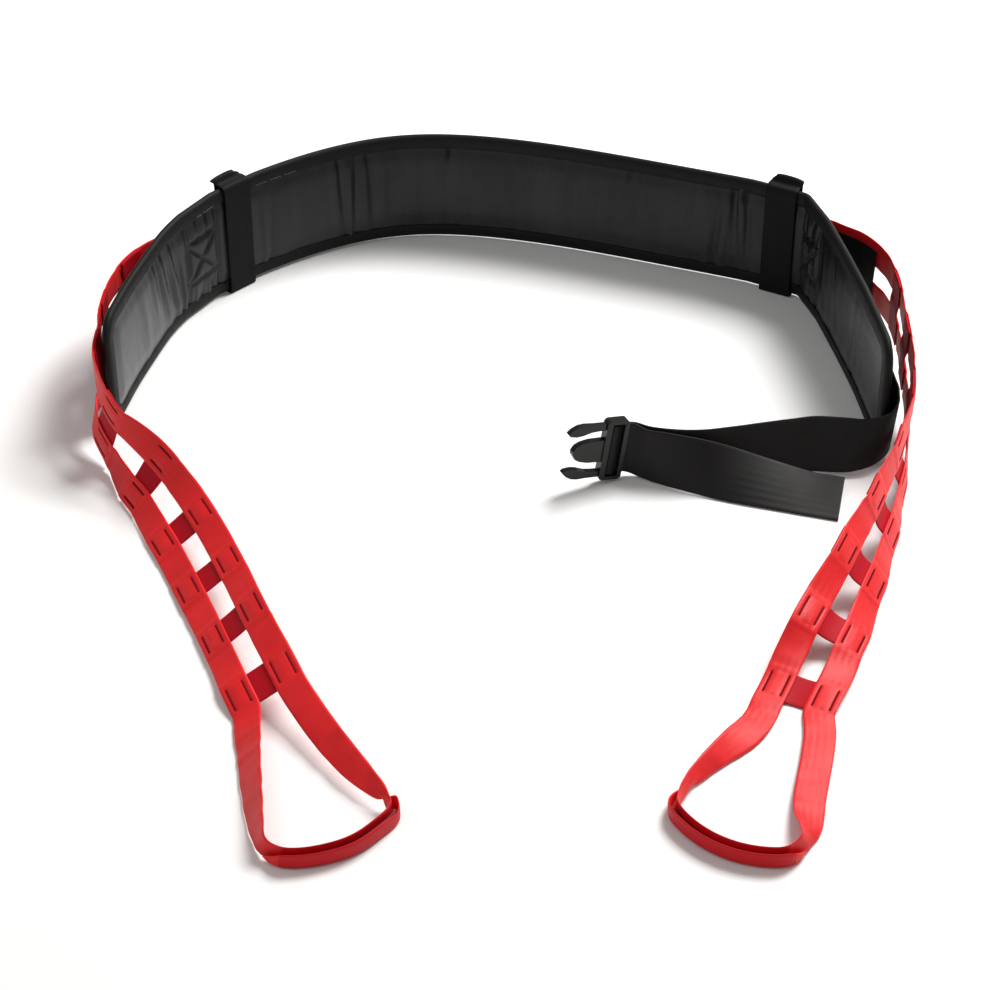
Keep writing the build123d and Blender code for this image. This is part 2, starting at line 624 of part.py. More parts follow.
def tube_rings(pts, hw, hh, round_k):
    """Rings of an upright rounded section along a level line."""
    rings = []
    m = len(pts)
    for i, p in enumerate(pts):
        t = vunit(vsub(pts[min(i + 1, m - 1)], pts[max(i - 1, 0)]))
        s = vunit((-t[1], t[0], 0.0))
        u = (0.0, 0.0, 1.0)
        sec = [(-hw + round_k, -hh), (hw - round_k, -hh), (hw, -hh + round_k), (hw, hh - round_k),
               (hw - round_k, hh), (-hw + round_k, hh), (-hw, hh - round_k), (-hw, -hh + round_k)]
        rings.append([vadd(vadd(p, s, a), u, b) for a, b in sec])
    return rings


def grip(side, pts):
    outer = facet_solid(tube_rings(pts, GRIP_T / 2, GRIP_H / 2, 2.4))
    inner = facet_solid(tube_rings(pts, GRIP_T / 2 - GRIP_WALL, GRIP_H / 2 - GRIP_WALL, 1.2))
    save(side + "_grip_sleeve", outer.cut(inner))
    core = facet_solid(tube_rings(pts, GRIP_T / 2 - GRIP_WALL, GRIP_H / 2 - GRIP_WALL, 1.2))
    save(side + "_grip_core", core)


TAB_LEN = {"left": 60.0, "right": 76.0}      # black tab under the root of each ladder strap
LOOP_GAP = 1.2
D_LAD = D_TAB1 + 0.4 + RUNG_T      # plane between rungs and rails at the pad

# each ladder folds out of the pad at the inner end of its crossed stitching
hl = facet_point(FR_XL, FR_XL[3], D_LAD, 0.0)
hr = facet_point(FR_XR, 0.0, D_LAD, 0.0)
first_l, full_l = ladder("left", LAD_L, LSIGN_L, hl)
first_r, full_r = ladder("right", LAD_R, LSIGN_R, hr)


def loop(side, first, full, out_rows, in_rows, grip_pts, sign):
    g = RAIL_GAP / 2 + RAIL_W / 2
    c, w, n = first
    t = vunit(vsub(full[1][0], c))
    c0 = vadd(c, t, -LOOP_GAP)
    so = leg(out_rows, (vadd(c0, w, -g), w, n), sign)
    si = leg(in_rows, (vadd(c0, w, g), w, n), sign)
    save(side + "_loop_outer_leg", ribbon(so, -RAIL_W / 2, RAIL_W / 2, 0.0, RAIL_T))
    save(side + "_loop_inner_leg", ribbon(si, -RAIL_W / 2, RAIL_W / 2, 0.0, RAIL_T))
    grip(side, grip_pts)


loop("left", first_l, full_l, LEG_LO, LEG_LI, GRIP_L, -LSIGN_L)
loop("right", first_r, full_r, LEG_RO, LEG_RI, GRIP_R, -LSIGN_R)


# ---------------------------------------------------------------- waist strap and tail
def strap_rows(rows):
    """rows: lower edge point and upper edge point."""
    cs, ws = [], []
    for r in rows:
        lo, up = (r[0], r[1], r[2]), (r[3], r[4], r[5])
        cs.append(tuple((lo[j] + up[j]) / 2 for j in range(3)))
        ws.append(vunit(vsub(up, lo)))
    return cs, ws


# from the face of the pad the webbing dips and runs on outside the pad's right end
cs, ws = strap_rows(BELT_END)
st = normals(cs, ws, 1.0, False)
save("waist_belt_end", ribbon(st, -BELT_W / 2, BELT_W / 2, -BELT_T / 2, BELT_T / 2))

cs, ws = strap_rows(STRAP)
st = normals(cs, ws, 1.0, False)
save("waist_strap_front", ribbon(st, -BELT_W / 2, BELT_W / 2, -BELT_T / 2, BELT_T / 2))
cs, ws = strap_rows(TAIL)
st = normals(cs, ws, 1.0, False)
save("waist_strap_tail", ribbon(st, -BELT_W / 2, BELT_W / 2, -BELT_T / 2, BELT_T / 2))

# ---------------------------------------------------------------- side release buckle
# local frame of each half: X along the insertion direction, Y through the
# thickness, Z up along the webbing bar


def place(shape, origin, ex, ez):
    pl = Plane(origin=Vector(*origin), x_dir=Vector(*ex), z_dir=Vector(*ez))
    return shape.moved(pl.location)


def box(x0, x1, y0, y1, z0, z1):
    return Solid.make_box(x1 - x0, y1 - y0, z1 - z0).moved(Location((x0, y0, z0)))


def first_solid(shape):
    s = shape.solids()
    return s[0] if len(s) == 1 else Compound(children=list(s))


def fillet_all(shape, edges, r):
    try:
        return shape.fillet(r, edges)
    except Exception:
        return shape


W2 = BUCKLE_W / 2
T2 = BUCKLE_T / 2

# male half: frame with one bar, centre tongue and two spring prongs
frame = box(0, 22, -T2, T2, -W2, W2)
frame = fillet_all(frame, frame.edges().filter_by(Axis.Y), 4.0)
frame = frame.cut(box(4.2, 16.5, -T2 - 1, T2 + 1, -26.5, 26.5))
frame = frame.cut(box(-1.0, 4.3, -T2 - 1, 1.2, -26.5, 26.5))
frame = first_solid(frame)
bar = Solid.make_cylinder(1.7, 53.4).moved(Location((11.3, -0.6, -26.7)))
frame = first_solid(frame.fuse(bar))
save("male_buckle_frame", place(frame, MALE_O, MALE_X, MALE_Z))


def plate(points, y0, y1):
    f = Face(Wire.make_polygon([Vector(x, y0, z) for x, z in points], close=True))
    return Solid.extrude(f, Vector(0, y1 - y0, 0))


tongue = plate([(22, -11), (36, -10.6), (44, -8.8), (49, -6.0), (51.5, -1.5), (51.5, 1.5), (49, 6.0), (44, 8.8), (36, 10.6), (22, 11)], -3.2, 3.2)
tongue = fillet_all(tongue, tongue.edges().filter_by(Axis.X), 0.8)
save("male_guide_tongue", place(first_solid(tongue), MALE_O, MALE_X, MALE_Z))


def prong(sgn):
    pts = [(22.5, 26.6), (34, 26.6), (43, 27.2), (49, 26.4), (54.5, 23.6), (58.5, 19.6), (56.5, 17.6), (50, 16.6), (44, 17.4), (36, 20.0), (28, 20.8), (22.5, 20.8)]
    p = plate([(x, z * sgn) for x, z in pts], -2.8, 2.8)
    return first_solid(p)


save("male_upper_prong", place(prong(1), MALE_O, MALE_X, MALE_Z))
save("male_lower_prong", place(prong(-1), MALE_O, MALE_X, MALE_Z))

# female half: hollow housing, open at the mouth, with two side windows
FW, FL, FT = 60.0, 46.0, 12.0
house = box(0, FL, -FT / 2, FT / 2, -FW / 2, FW / 2)
house = fillet_all(house, house.edges().filter_by(Axis.Y), 4.0)
house = house.cut(box(9.0, FL + 1, -3.9, 3.9, -26.0, 26.0))
house = house.cut(box(14.0, 28.0, -3.9, 3.9, -FW / 2 - 1, FW / 2 + 1))
house = first_solid(house)
save("female_buckle_housing", place(house, FEM_O, FEM_X, FEM_Z))
fbar = Solid.make_cylinder(1.7, 54.0).moved(Location((-7.3, 0.0, -27.0)))
ear_a = box(-10.0, 0.0, -4.0, 4.0, 26.0, 30.0)
ear_b = box(-10.0, 0.0, -4.0, 4.0, -30.0, -26.0)
save("female_webbing_bar", place(first_solid(fbar.fuse(ear_a, ear_b)), FEM_O, FEM_X, FEM_Z))

# short webbing loop that ties the female half to the waist webbing
save("female_anchor_webbing", wall(FEM_LOOP, -BELT_T / 2, BELT_T / 2, BELT_Z0, BELT_Z0 + BELT_W))
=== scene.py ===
"""Looks of the gait belt: its fabric, webbing, stitching and buckle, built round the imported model. Tables are in
millimetres, in the model's own frame, and everything is put into the scene in metres."""
import bpy
import bmesh
import math
import numpy as np
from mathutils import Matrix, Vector


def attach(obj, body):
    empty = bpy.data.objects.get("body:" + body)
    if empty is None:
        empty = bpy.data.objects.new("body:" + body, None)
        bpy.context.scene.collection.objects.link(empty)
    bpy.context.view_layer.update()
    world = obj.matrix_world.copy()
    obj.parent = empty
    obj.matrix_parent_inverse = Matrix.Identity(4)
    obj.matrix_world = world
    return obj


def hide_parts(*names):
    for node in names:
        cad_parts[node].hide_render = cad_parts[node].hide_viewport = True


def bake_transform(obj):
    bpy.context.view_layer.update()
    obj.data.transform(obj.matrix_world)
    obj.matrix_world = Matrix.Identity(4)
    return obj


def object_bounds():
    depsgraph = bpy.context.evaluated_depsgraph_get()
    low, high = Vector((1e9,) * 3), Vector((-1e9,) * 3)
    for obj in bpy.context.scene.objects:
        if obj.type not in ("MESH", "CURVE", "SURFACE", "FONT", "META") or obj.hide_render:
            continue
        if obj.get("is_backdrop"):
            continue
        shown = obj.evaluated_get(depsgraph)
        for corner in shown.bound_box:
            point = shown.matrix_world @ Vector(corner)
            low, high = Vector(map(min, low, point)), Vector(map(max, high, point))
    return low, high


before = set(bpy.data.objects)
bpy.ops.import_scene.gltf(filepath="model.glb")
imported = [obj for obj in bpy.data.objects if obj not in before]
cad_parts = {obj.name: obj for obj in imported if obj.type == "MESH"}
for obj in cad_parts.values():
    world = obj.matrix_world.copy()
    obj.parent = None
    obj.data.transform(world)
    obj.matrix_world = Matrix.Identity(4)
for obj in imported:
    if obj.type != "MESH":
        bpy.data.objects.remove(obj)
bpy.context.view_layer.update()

# ---------------------------------------------------------------- camera
cam_data = bpy.data.cameras.new("camera")
cam_data.lens = 98.18
cam_data.sensor_width = 36.0
cam_data.clip_end = 50.0
cam_data.dof.use_dof = False
cam = bpy.data.objects.new("camera", cam_data)
cam.location = (-0.00666, -1.8996, 1.4344)
cam.rotation_euler = (math.radians(90.0 - 36.9), 0.0, 0.0)
bpy.context.scene.collection.objects.link(cam)
bpy.context.scene.camera = cam

WORLD, KEY, FILL = 0.30, 165.0, 14.0

# ---------------------------------------------------------------- the model's tables, mm
PAD = [
    (-349.8, 107.5),
    (-336.86, 174.91),
    (-328.8, 205.9),
    (-320.6, 236.5),
    (-312.08, 266.11),
    (-300.34, 292.5),
    (-274.61, 331.8),
    (-235.97, 370.73),
    (-210.54, 390.48),
    (-183.64, 408.34),
    (-155.58, 423.64),
    (-126.46, 435.33),
    (-96.39, 442.36),
    (-65.54, 444.3),
    (-34.3, 442.1),
    (-3.06, 436.91),
    (27.84, 429.75),
    (58.41, 421.11),
    (88.75, 411.34),
    (118.96, 400.77),
    (149.13, 389.75),
    (179.36, 378.61),
    (209.73, 367.68),
    (239.3, 356.23),
    (287.0, 331.0),
    (300.9, 287.5),
    (307.2, 256.5),
    (313.6, 225.0),
    (318.8, 195.0),
    (324.3, 165.0),
    (336.3, 70.0),
]
LAD_L = [
    (0.0, -186.76, -278.04, 16.66, 0.851, 0.293, 0.435),
    (31.0, -199.76, -248.84, 21.11, 0.851, 0.293, 0.435),
    (45.0, -205.25, -235.74, 22.13, 0.79, 0.278, 0.546),
    (59.0, -210.54, -222.68, 22.78, 0.771, 0.282, 0.571),
    (73.0, -215.68, -209.67, 23.15, 0.754, 0.3, 0.585),
    (104.0, -226.68, -181.06, 22.66, 0.754, 0.3, 0.585),
    (118.0, -231.56, -168.23, 22.06, 0.76, 0.319, 0.566),
    (132.0, -236.43, -155.45, 21.38, 0.767, 0.326, 0.552),
    (146.0, -241.33, -142.74, 20.71, 0.782, 0.334, 0.526),
    (177.0, -252.45, -114.81, 19.64, 0.782, 0.334, 0.526),
    (191.0, -257.67, -102.3, 19.57, 0.785, 0.339, 0.519),
    (205.0, -263.05, -89.86, 19.73, 0.78, 0.34, 0.526),
    (219.0, -268.63, -77.49, 20.77, 0.754, 0.341, 0.561),
    (250.0, -281.82, -50.34, 21.5, 0.754, 0.341, 0.561),
    (264.0, -288.22, -38.2, 22.91, 0.706, 0.328, 0.628),
    (278.0, -294.94, -26.13, 24.29, 0.673, 0.314, 0.67),
    (292.0, -302.0, -14.15, 27.52, 0.578, 0.258, 0.774),
    (323.0, -319.01, 12.12, 29.11, 0.578, 0.258, 0.774),
    (337.0, -327.37, 23.85, 30.86, 0.442, 0.149, 0.884),
    (351.0, -336.01, 35.52, 32.89, 0.378, 0.056, 0.924),
    (365.0, -344.39, 47.19, 36.01, 0.301, -0.208, 0.93),
    (396.0, -359.25, 73.36, 46.6, 0.301, -0.208, 0.93),
    (410.0, -363.11, 85.48, 52.02, 0.182, -0.334, 0.925),
    (424.0, -364.57, 97.88, 56.14, 0.067, -0.246, 0.967),
    (438.0, -364.12, 110.57, 58.53, -0.058, -0.03, 0.998),
    (469.0, -363.17, 139.62, 59.48, -0.058, -0.03, 0.998),
    (483.0, -364.93, 153.09, 58.8, -0.059, 0.051, 0.997),
    (497.0, -367.08, 166.74, 57.97, -0.018, 0.054, 0.998),
    (511.0, -368.46, 180.55, 57.34, 0.041, 0.013, 0.999),
    (542.0, -367.33, 211.22, 56.88, 0.041, 0.013, 0.999),
    (556.0, -364.93, 224.9, 56.99, 0.036, -0.021, 0.999),
    (570.0, -361.36, 238.33, 57.23, 0.021, -0.028, 0.999),
    (584.0, -356.62, 251.4, 57.55, -0.017, -0.019, 1.0),
    (615.0, -341.93, 278.62, 58.31, -0.017, -0.019, 1.0),
]
LAD_R = [
    (0.0, 232.77, -272.61, 2.46, -0.906, 0.423, 0.006),
    (31.0, 245.6, -245.24, 7.12, -0.906, 0.423, 0.006),
    (45.0, 251.45, -232.82, 10.15, -0.899, 0.377, 0.224),
    (59.0, 257.33, -220.34, 13.22, -0.881, 0.347, 0.322),
    (73.0, 263.21, -207.82, 18.78, -0.82, 0.278, 0.501),
    (104.0, 276.18, -179.91, 21.35, -0.82, 0.278, 0.501),
    (118.0, 281.98, -167.22, 23.38, -0.738, 0.219, 0.639),
    (132.0, 287.73, -154.48, 25.18, -0.694, 0.197, 0.692),
    (146.0, 293.42, -141.68, 27.88, -0.596, 0.167, 0.786),
    (177.0, 305.72, -113.14, 30.13, -0.596, 0.167, 0.786),
    (191.0, 311.11, -100.15, 30.91, -0.492, 0.151, 0.857),
    (205.0, 316.38, -87.1, 31.45, -0.445, 0.142, 0.884),
    (219.0, 321.51, -73.99, 32.23, -0.352, 0.113, 0.929),
    (250.0, 332.33, -44.71, 32.62, -0.352, 0.113, 0.929),
    (264.0, 336.93, -31.37, 33.12, -0.267, 0.072, 0.961),
    (278.0, 341.35, -17.97, 33.41, -0.229, 0.048, 0.972),
    (292.0, 345.55, -4.49, 33.76, -0.156, -0.016, 0.988),
    (323.0, 354.07, 25.62, 35.27, -0.156, -0.016, 0.988),
    (337.0, 357.52, 39.34, 36.52, -0.087, -0.093, 0.992),
    (351.0, 360.59, 53.13, 38.29, -0.056, -0.138, 0.989),
    (365.0, 363.16, 66.98, 40.69, 0.004, -0.233, 0.972),
    (396.0, 366.49, 97.79, 48.06, 0.004, -0.233, 0.972),
    (410.0, 367.2, 111.73, 51.23, 0.036, -0.193, 0.981),
    (424.0, 367.68, 125.68, 53.41, 0.034, -0.121, 0.992),
    (438.0, 368.02, 139.63, 54.69, 0.009, -0.03, 1.0),
    (469.0, 368.58, 170.42, 55.62, 0.009, -0.03, 1.0),
    (483.0, 368.86, 184.26, 55.79, -0.017, -0.017, 1.0),
    (497.0, 369.17, 198.04, 56.14, -0.022, -0.031, 0.999),
    (511.0, 369.26, 211.72, 56.65, -0.011, -0.049, 0.999),
    (542.0, 367.1, 241.43, 58.08, -0.011, -0.049, 0.999),
    (556.0, 364.35, 254.5, 58.74, 0.018, -0.044, 0.999),
    (570.0, 360.07, 267.29, 59.33, 0.032, -0.029, 0.999),
    (584.0, 354.06, 279.76, 59.78, 0.037, 0.017, 0.999),
    (615.0, 335.45, 306.01, 60.04, 0.037, 0.017, 0.999),
]
LEG_LO = [
    (-202.16, -301.13, 7.55, 0.86, 0.104, 0.5, 1),
    (-198.16, -334.13, 9.66, 0.738, 0.091, 0.669, 1),
    (-193.16, -374.13, 10.88, 0.637, 0.089, 0.766, 1),
    (-187.66, -409.13, 11.37, 0.522, 0.093, 0.848, 0.95),
    (-182.66, -433.13, 11.4, 0.297, 0.085, 0.951, 0.85),
    (-177.16, -445.63, 9.02, 0.08, 0.035, 0.996, 0.62),
]
LEG_LI = [
    (-151.66, -302.13, 20.0, 0.724, 0.442, 0.53, 1),
    (-129.66, -338.13, 16.5, 0.669, 0.437, 0.602, 0.96),
    (-111.16, -364.13, 14.5, 0.627, 0.478, 0.616, 0.82),
    (-97.66, -380.13, 13.0, 0.532, 0.466, 0.707, 0.6),
    (-86.66, -392.13, 11.0, 0.252, 0.231, 0.94, 0.45),
]
LEG_RO = [
    (250.84, -301.13, 1.95, -0.985, 0.164, 0.052, 1),
    (245.34, -334.13, 2.61, -0.977, 0.187, 0.104, 1),
    (239.34, -361.13, 3.04, -0.968, 0.21, 0.139, 1),
    (233.84, -387.13, 3.9, -0.964, 0.164, 0.208, 1),
    (230.34, -414.13, 7.24, -0.855, 0.139, 0.5, 0.95),
    (226.84, -430.13, 10.13, -0.452, 0.126, 0.883, 0.8),
    (222.84, -441.13, 9.01, -0.098, 0.036, 0.995, 0.62),
]
LEG_RI = [
    (200.84, -294.13, 2.39, -0.832, 0.547, 0.087, 1),
    (188.34, -313.13, 5.58, -0.742, 0.576, 0.342, 1),
    (171.34, -332.13, 7.61, -0.592, 0.52, 0.616, 0.82),
    (155.84, -350.13, 8.0, -0.476, 0.39, 0.788, 0.68),
    (141.84, -368.13, 7.7, -0.379, 0.278, 0.883, 0.58),
    (133.84, -380.13, 7.48, -0.268, 0.153, 0.951, 0.52),
    (130.14, -388.63, 7.52, -0.096, 0.042, 0.995, 0.5),
]
GRIP_L = [
    (-167.05, -451.73, 8.7),
    (-152.1, -452.26, 8.7),
    (-133.67, -448.04, 8.7),
    (-113.88, -439.02, 8.7),
    (-95.03, -420.26, 8.7),
    (-82.09, -397.92, 8.7),
]
GRIP_R = [
    (128.21, -397.92, 8.7),
    (136.43, -414.3, 8.7),
    (151.26, -431.55, 8.7),
    (172.83, -445.39, 8.7),
    (194.8, -451.21, 8.7),
    (214.3, -450.15, 8.7),
]
BELT_END = [
    (339.3, 138.07, 34.0, 339.3, 138.07, 84.0),
    (343.94, 110.97, 28.0, 345.44, 111.97, 77.97),
    (347.24, 85.97, 20.5, 351.09, 91.03, 70.09),
    (348.74, 72.37, 16.8, 353.33, 80.03, 66.0),
]
STRAP = [
    (348.44, 70.07, 16.2, 353.11, 77.89, 65.36),
    (344.84, 56.87, 13.0, 352.69, 69.95, 60.62),
    (331.84, 43.67, 9.5, 345.91, 62.12, 53.79),
    (311.34, 37.37, 6.0, 327.19, 62.64, 46.13),
    (293.34, 39.37, 4.0, 302.3, 68.25, 43.83),
    (275.34, 41.87, 3.0, 280.27, 70.93, 43.39),
    (255.34, 38.87, 2.2, 259.26, 67.29, 43.15),
    (229.34, 33.87, 1.8, 233.32, 62.23, 42.79),
    (203.34, 28.37, 1.8, 206.39, 52.22, 45.64),
    (171.34, 26.37, 1.8, 174.36, 41.49, 49.36),
    (143.34, 32.37, 1.8, 146.37, 40.46, 51.05),
    (126.34, 38.87, 2.0, 130.35, 43.09, 51.66),
    (107.9, 41.03, 5.39, 114.9, 46.03, 54.64),
    (99.71, 37.61, 6.9, 106.71, 42.61, 56.15),
    (94.22, 36.39, 7.8, 101.22, 41.39, 57.06),
    (90.98, 34.94, 8.41, 97.98, 39.94, 57.67),
    (89.33, 32.81, 8.86, 96.33, 37.81, 58.12),
    (89.51, 30.93, 9.03, 96.51, 35.93, 58.28),
    (90.95, 29.59, 8.96, 97.96, 34.59, 58.21),
    (93.03, 29.29, 8.69, 100.03, 34.29, 57.95),
    (95.06, 30.06, 8.33, 102.06, 35.06, 57.58),
    (96.59, 31.48, 7.97, 103.59, 36.48, 57.22),
    (97.65, 33.46, 7.61, 104.66, 38.46, 56.87),
    (100.07, 35.32, 7.08, 107.07, 40.32, 56.34),
    (106.41, 38.05, 5.9, 113.41, 43.05, 55.16),
]
TAIL = [
    (107.85, 38.67, 5.63, 114.86, 43.67, 54.89),
    (123.34, 34.87, 1.6, 127.35, 38.88, 51.28),
    (140.34, 24.87, 1.4, 143.41, 36.11, 50.02),
    (174.34, 8.87, 1.3, 176.31, 32.51, 45.32),
    (209.04, -3.93, 1.3, 211.39, 35.73, 31.66),
    (243.34, -14.13, 1.3, 248.06, 32.05, 19.88),
    (265.34, -20.63, 1.3, 273.37, 27.05, 14.05),
    (292.74, -28.53, 1.3, 302.88, 18.88, 13.55),
]
FEM_LOOP = [
    (-323.67, 272.7),
    (-328.52, 262.18),
    (-330.62, 255.82),
    (-332.22, 253.92),
    (-334.37, 253.77),
    (-336.03, 255.15),
    (-336.23, 257.63),
    (-333.66, 263.84),
    (-326.79, 272.13),
]
MALE_O, MALE_X, MALE_Z = [107.04, 39.07, 31.9], [-0.90526, -0.39011, 0.16827], [0.14001, 0.10001, 0.98509]
FEM_O, FEM_X, FEM_Z = [-335.66, 249.77, 59.0], [-0.30601, -0.95203, 0.0], [0.0, 0.0, 1.0]
HINGE_L, HINGE_R = [-287.829, 340.455], [302.05, 335.809]
BELT_START = 164.5

# ---------------------------------------------------------------- helpers
M = 0.001


def vn(a):
    return a / np.maximum(np.linalg.norm(a, axis=-1, keepdims=True), 1e-12)


def herm(t, k, u):
    """Smooth curve through the rows of k at parameters t, sampled at u."""
    t, k, u = np.asarray(t, float), np.asarray(k, float), np.asarray(u, float)
    h = np.diff(t)
    s = np.diff(k, axis=0) / h[:, None]
    m = np.empty_like(k)
    m[0], m[-1] = s[0], s[-1]
    m[1:-1] = (s[:-1] * h[1:, None] + s[1:] * h[:-1, None]) / (h[1:] + h[:-1])[:, None]
    i = np.clip(np.searchsorted(t, u, side="right") - 1, 0, len(t) - 2)
    x = ((u - t[i]) / h[i])[:, None]
    hh = h[i][:, None]
    return ((2 * x ** 3 - 3 * x ** 2 + 1) * k[i] + (x ** 3 - 2 * x ** 2 + x) * hh * m[i]
            + (-2 * x ** 3 + 3 * x ** 2) * k[i + 1] + (x ** 3 - x ** 2) * hh * m[i + 1])


def chord(p):
    return np.r_[0, np.cumsum(np.linalg.norm(np.diff(np.asarray(p, float), axis=0), axis=1))]


def soften(a, n=1):
    a = np.array(a, float)
    for _ in range(n):
        b = a.copy()
        b[1:-1] = 0.25 * a[:-2] + 0.5 * a[1:-1] + 0.25 * a[2:]
        a = b
    return a


def sstep(x, a=0.0, b=1.0):
    x = np.clip((np.asarray(x, float) - a) / (b - a), 0, 1)
    return x * x * (3 - 2 * x)


def rough_line(x, seed, base=60.0, octaves=4):
    """Smooth wander along x, roughly between -1 and 1, always the same for one seed."""
    r = np.random.RandomState(seed)
    out = np.zeros_like(np.asarray(x, float))
    for o in range(octaves):
        for _ in range(3):
            out = out + np.sin(np.asarray(x) * (2 * np.pi / (base * r.uniform(0.7, 1.5) / 1.7 ** o)) + r.uniform(0, 6.28)) * r.uniform(0.5, 1) / 1.5 ** o
    return out / 4.2


def mesh_object(name, verts, faces, mat, uv=None, shade=True):
    me = bpy.data.meshes.new(name)
    me.from_pydata([tuple(v) for v in (np.asarray(verts) * M)], [], [tuple(int(i) for i in f) for f in faces])
    me.update()
    if uv is not None:
        lay = me.uv_layers.new(name="UVMap")
        lay.data.foreach_set("uv", np.asarray(uv, float).ravel())
    bm = bmesh.new()
    bm.from_mesh(me)
    bmesh.ops.recalc_face_normals(bm, faces=bm.faces)
    bm.to_mesh(me)
    bm.free()
    if shade:
        me.polygons.foreach_set("use_smooth", [True] * len(me.polygons))
    me.update()
    ob = bpy.data.objects.new(name, me)
    bpy.context.scene.collection.objects.link(ob)
    if mat is not None:
        ob.data.materials.append(mat)
    return ob


def skin(name, rings, mat, across, along, closed=True, caps=True, shade=True, ends_flat=True):
    """Skin over rings (m, n, 3). across: (n + 1) or (m, n + 1) widths in mm for the texture, along: (m,) in mm."""
    rings = np.asarray(rings, float)
    m, n = rings.shape[:2]
    across = np.asarray(across, float)
    if across.ndim == 1:
        across = np.tile(across, (m, 1))
    along = np.asarray(along, float)
    verts = rings.reshape(-1, 3)
    faces, uv = [], []
    cols = n if closed else n - 1
    for i in range(m - 1):
        for j in range(cols):
            k = (j + 1) % n
            faces.append((i * n + j, i * n + k, (i + 1) * n + k, (i + 1) * n + j))
            a0, a1, b0, b1 = across[i, j], across[i, j + 1], across[i + 1, j + 1], across[i + 1, j]
            uv += [(a0 * M, along[i] * M), (a1 * M, along[i] * M), (b0 * M, along[i + 1] * M), (b1 * M, along[i + 1] * M)]
    if caps and closed:
        for i, order in ((0, range(n - 1, -1, -1)), (m - 1, range(n))):
            # a strip of quads across the end, so that a thin end closes cleanly
            idx = list(range(n))
            lo, hi = 0, n - 1
            while hi - lo >= 3:
                faces.append((i * n + lo, i * n + lo + 1, i * n + hi - 1, i * n + hi))
                uv += [(across[i, lo] * M, along[i] * M), (across[i, lo + 1] * M, along[i] * M), (across[i, lo + 1] * M, along[i] * M + 0.001), (across[i, lo] * M, along[i] * M + 0.001)]
                lo += 1
                hi -= 1
            if hi - lo == 2:
                faces.append((i * n + lo, i * n + lo + 1, i * n + hi))
                uv += [(across[i, lo] * M, along[i] * M), (across[i, lo + 1] * M, along[i] * M), (across[i, hi] * M, along[i] * M + 0.001)]
    # from_pydata keeps the order of loops, so the texture coordinates follow it
    return mesh_object(name, verts, faces, mat, uv, shade)


def strap_section(hw, t, nu=15, edge=3):
    """Rounded flat section as (u, n, across) rows, starting at the top left."""
    r = t / 2
    us = np.linspace(-hw + r, hw - r, nu)
    top = [(u, t) for u in us]
    ang = np.linspace(np.pi / 2, -np.pi / 2, edge + 2)[1:-1]
    right = [(hw - r + r * np.cos(a), r + r * np.sin(a)) for a in ang]
    bot = [(u, 0.0) for u in us[::-1]]
    left = [(-hw + r - r * np.cos(a), r - r * np.sin(a)) for a in ang]
    sec = np.array(top + right + bot + left)
    d = np.linalg.norm(np.diff(np.vstack([sec, sec[:1]]), axis=0), axis=1)
    return sec, np.r_[0, np.cumsum(d)] - hw


def strap(name, C, W, N, hw, t, mat, n0=0.0, off=None, nu=15, along0=0.0, kw=None):
    """Flat woven strap. off(s, u) lifts its middle surface along the normal, mm. kw scales its width per station."""
    sec, acr = strap_section(hw, t, nu)
    s = chord(C) + along0
    k = np.ones(len(C)) if kw is None else kw
    u = sec[None, :, 0] * k[:, None]
    n = np.broadcast_to(sec[None, :, 1] + n0, u.shape).copy()
    if off is not None:
        n = n + off(s[:, None], u)
    rings = C[:, None] + W[:, None] * u[..., None] + N[:, None] * n[..., None]
    return skin(name, rings, mat, acr, s)


def tubes(name, lines, radius, mat, sides=5):
    """Many thin threads in one mesh."""
    verts, faces, uv = [], [], []
    base = 0
    ang = np.linspace(0, 2 * np.pi, sides, endpoint=False)
    for p in lines:
        p = np.asarray(p, float)
        t = vn(np.gradient(p, axis=0))
        ref = np.array([0.0, 0.0, 1.0]) if abs(t[:, 2]).mean() < 0.8 else np.array([1.0, 0.0, 0.0])
        a = vn(np.cross(t, ref))
        b = np.cross(t, a)
        m = len(p)
        tap = np.ones(m)
        tap[0] = tap[-1] = 0.45
        ring = p[:, None] + (a[:, None] * np.cos(ang)[None, :, None] + b[:, None] * np.sin(ang)[None, :, None]) * radius * tap[:, None, None]
        verts.append(ring.reshape(-1, 3))
        s = chord(p)
        for i in range(m - 1):
            for j in range(sides):
                k = (j + 1) % sides
                faces.append((base + i * sides + j, base + i * sides + k, base + (i + 1) * sides + k, base + (i + 1) * sides + j))
                uv += [(j * 0.0003, s[i] * M), ((j + 1) * 0.0003, s[i] * M), ((j + 1) * 0.0003, s[i + 1] * M), (j * 0.0003, s[i + 1] * M)]
        faces.append(tuple(base + j for j in range(sides)))
        uv += [(0.0, 0.0)] * sides
        faces.append(tuple(base + (m - 1) * sides + j for j in range(sides)))
        uv += [(0.0, 0.0)] * sides
        base += m * sides
    return mesh_object(name, np.vstack(verts), faces, mat, uv)


# ---------------------------------------------------------------- materials
def new_mat(name):
    m = bpy.data.materials.new(name)
    m.use_nodes = True
    nt = m.node_tree
    nt.nodes.clear()
    out = nt.nodes.new("ShaderNodeOutputMaterial")
    b = nt.nodes.new("ShaderNodeBsdfPrincipled")
    nt.links.new(b.outputs["BSDF"], out.inputs["Surface"])
    return m, nt, b


def node(nt, kind, **sets):
    n = nt.nodes.new(kind)
    for k, v in sets.items():
        if k.startswith("_"):
            n.inputs[k[1:].replace("_", " ")].default_value = v
        else:
            setattr(n, k, v)
    return n


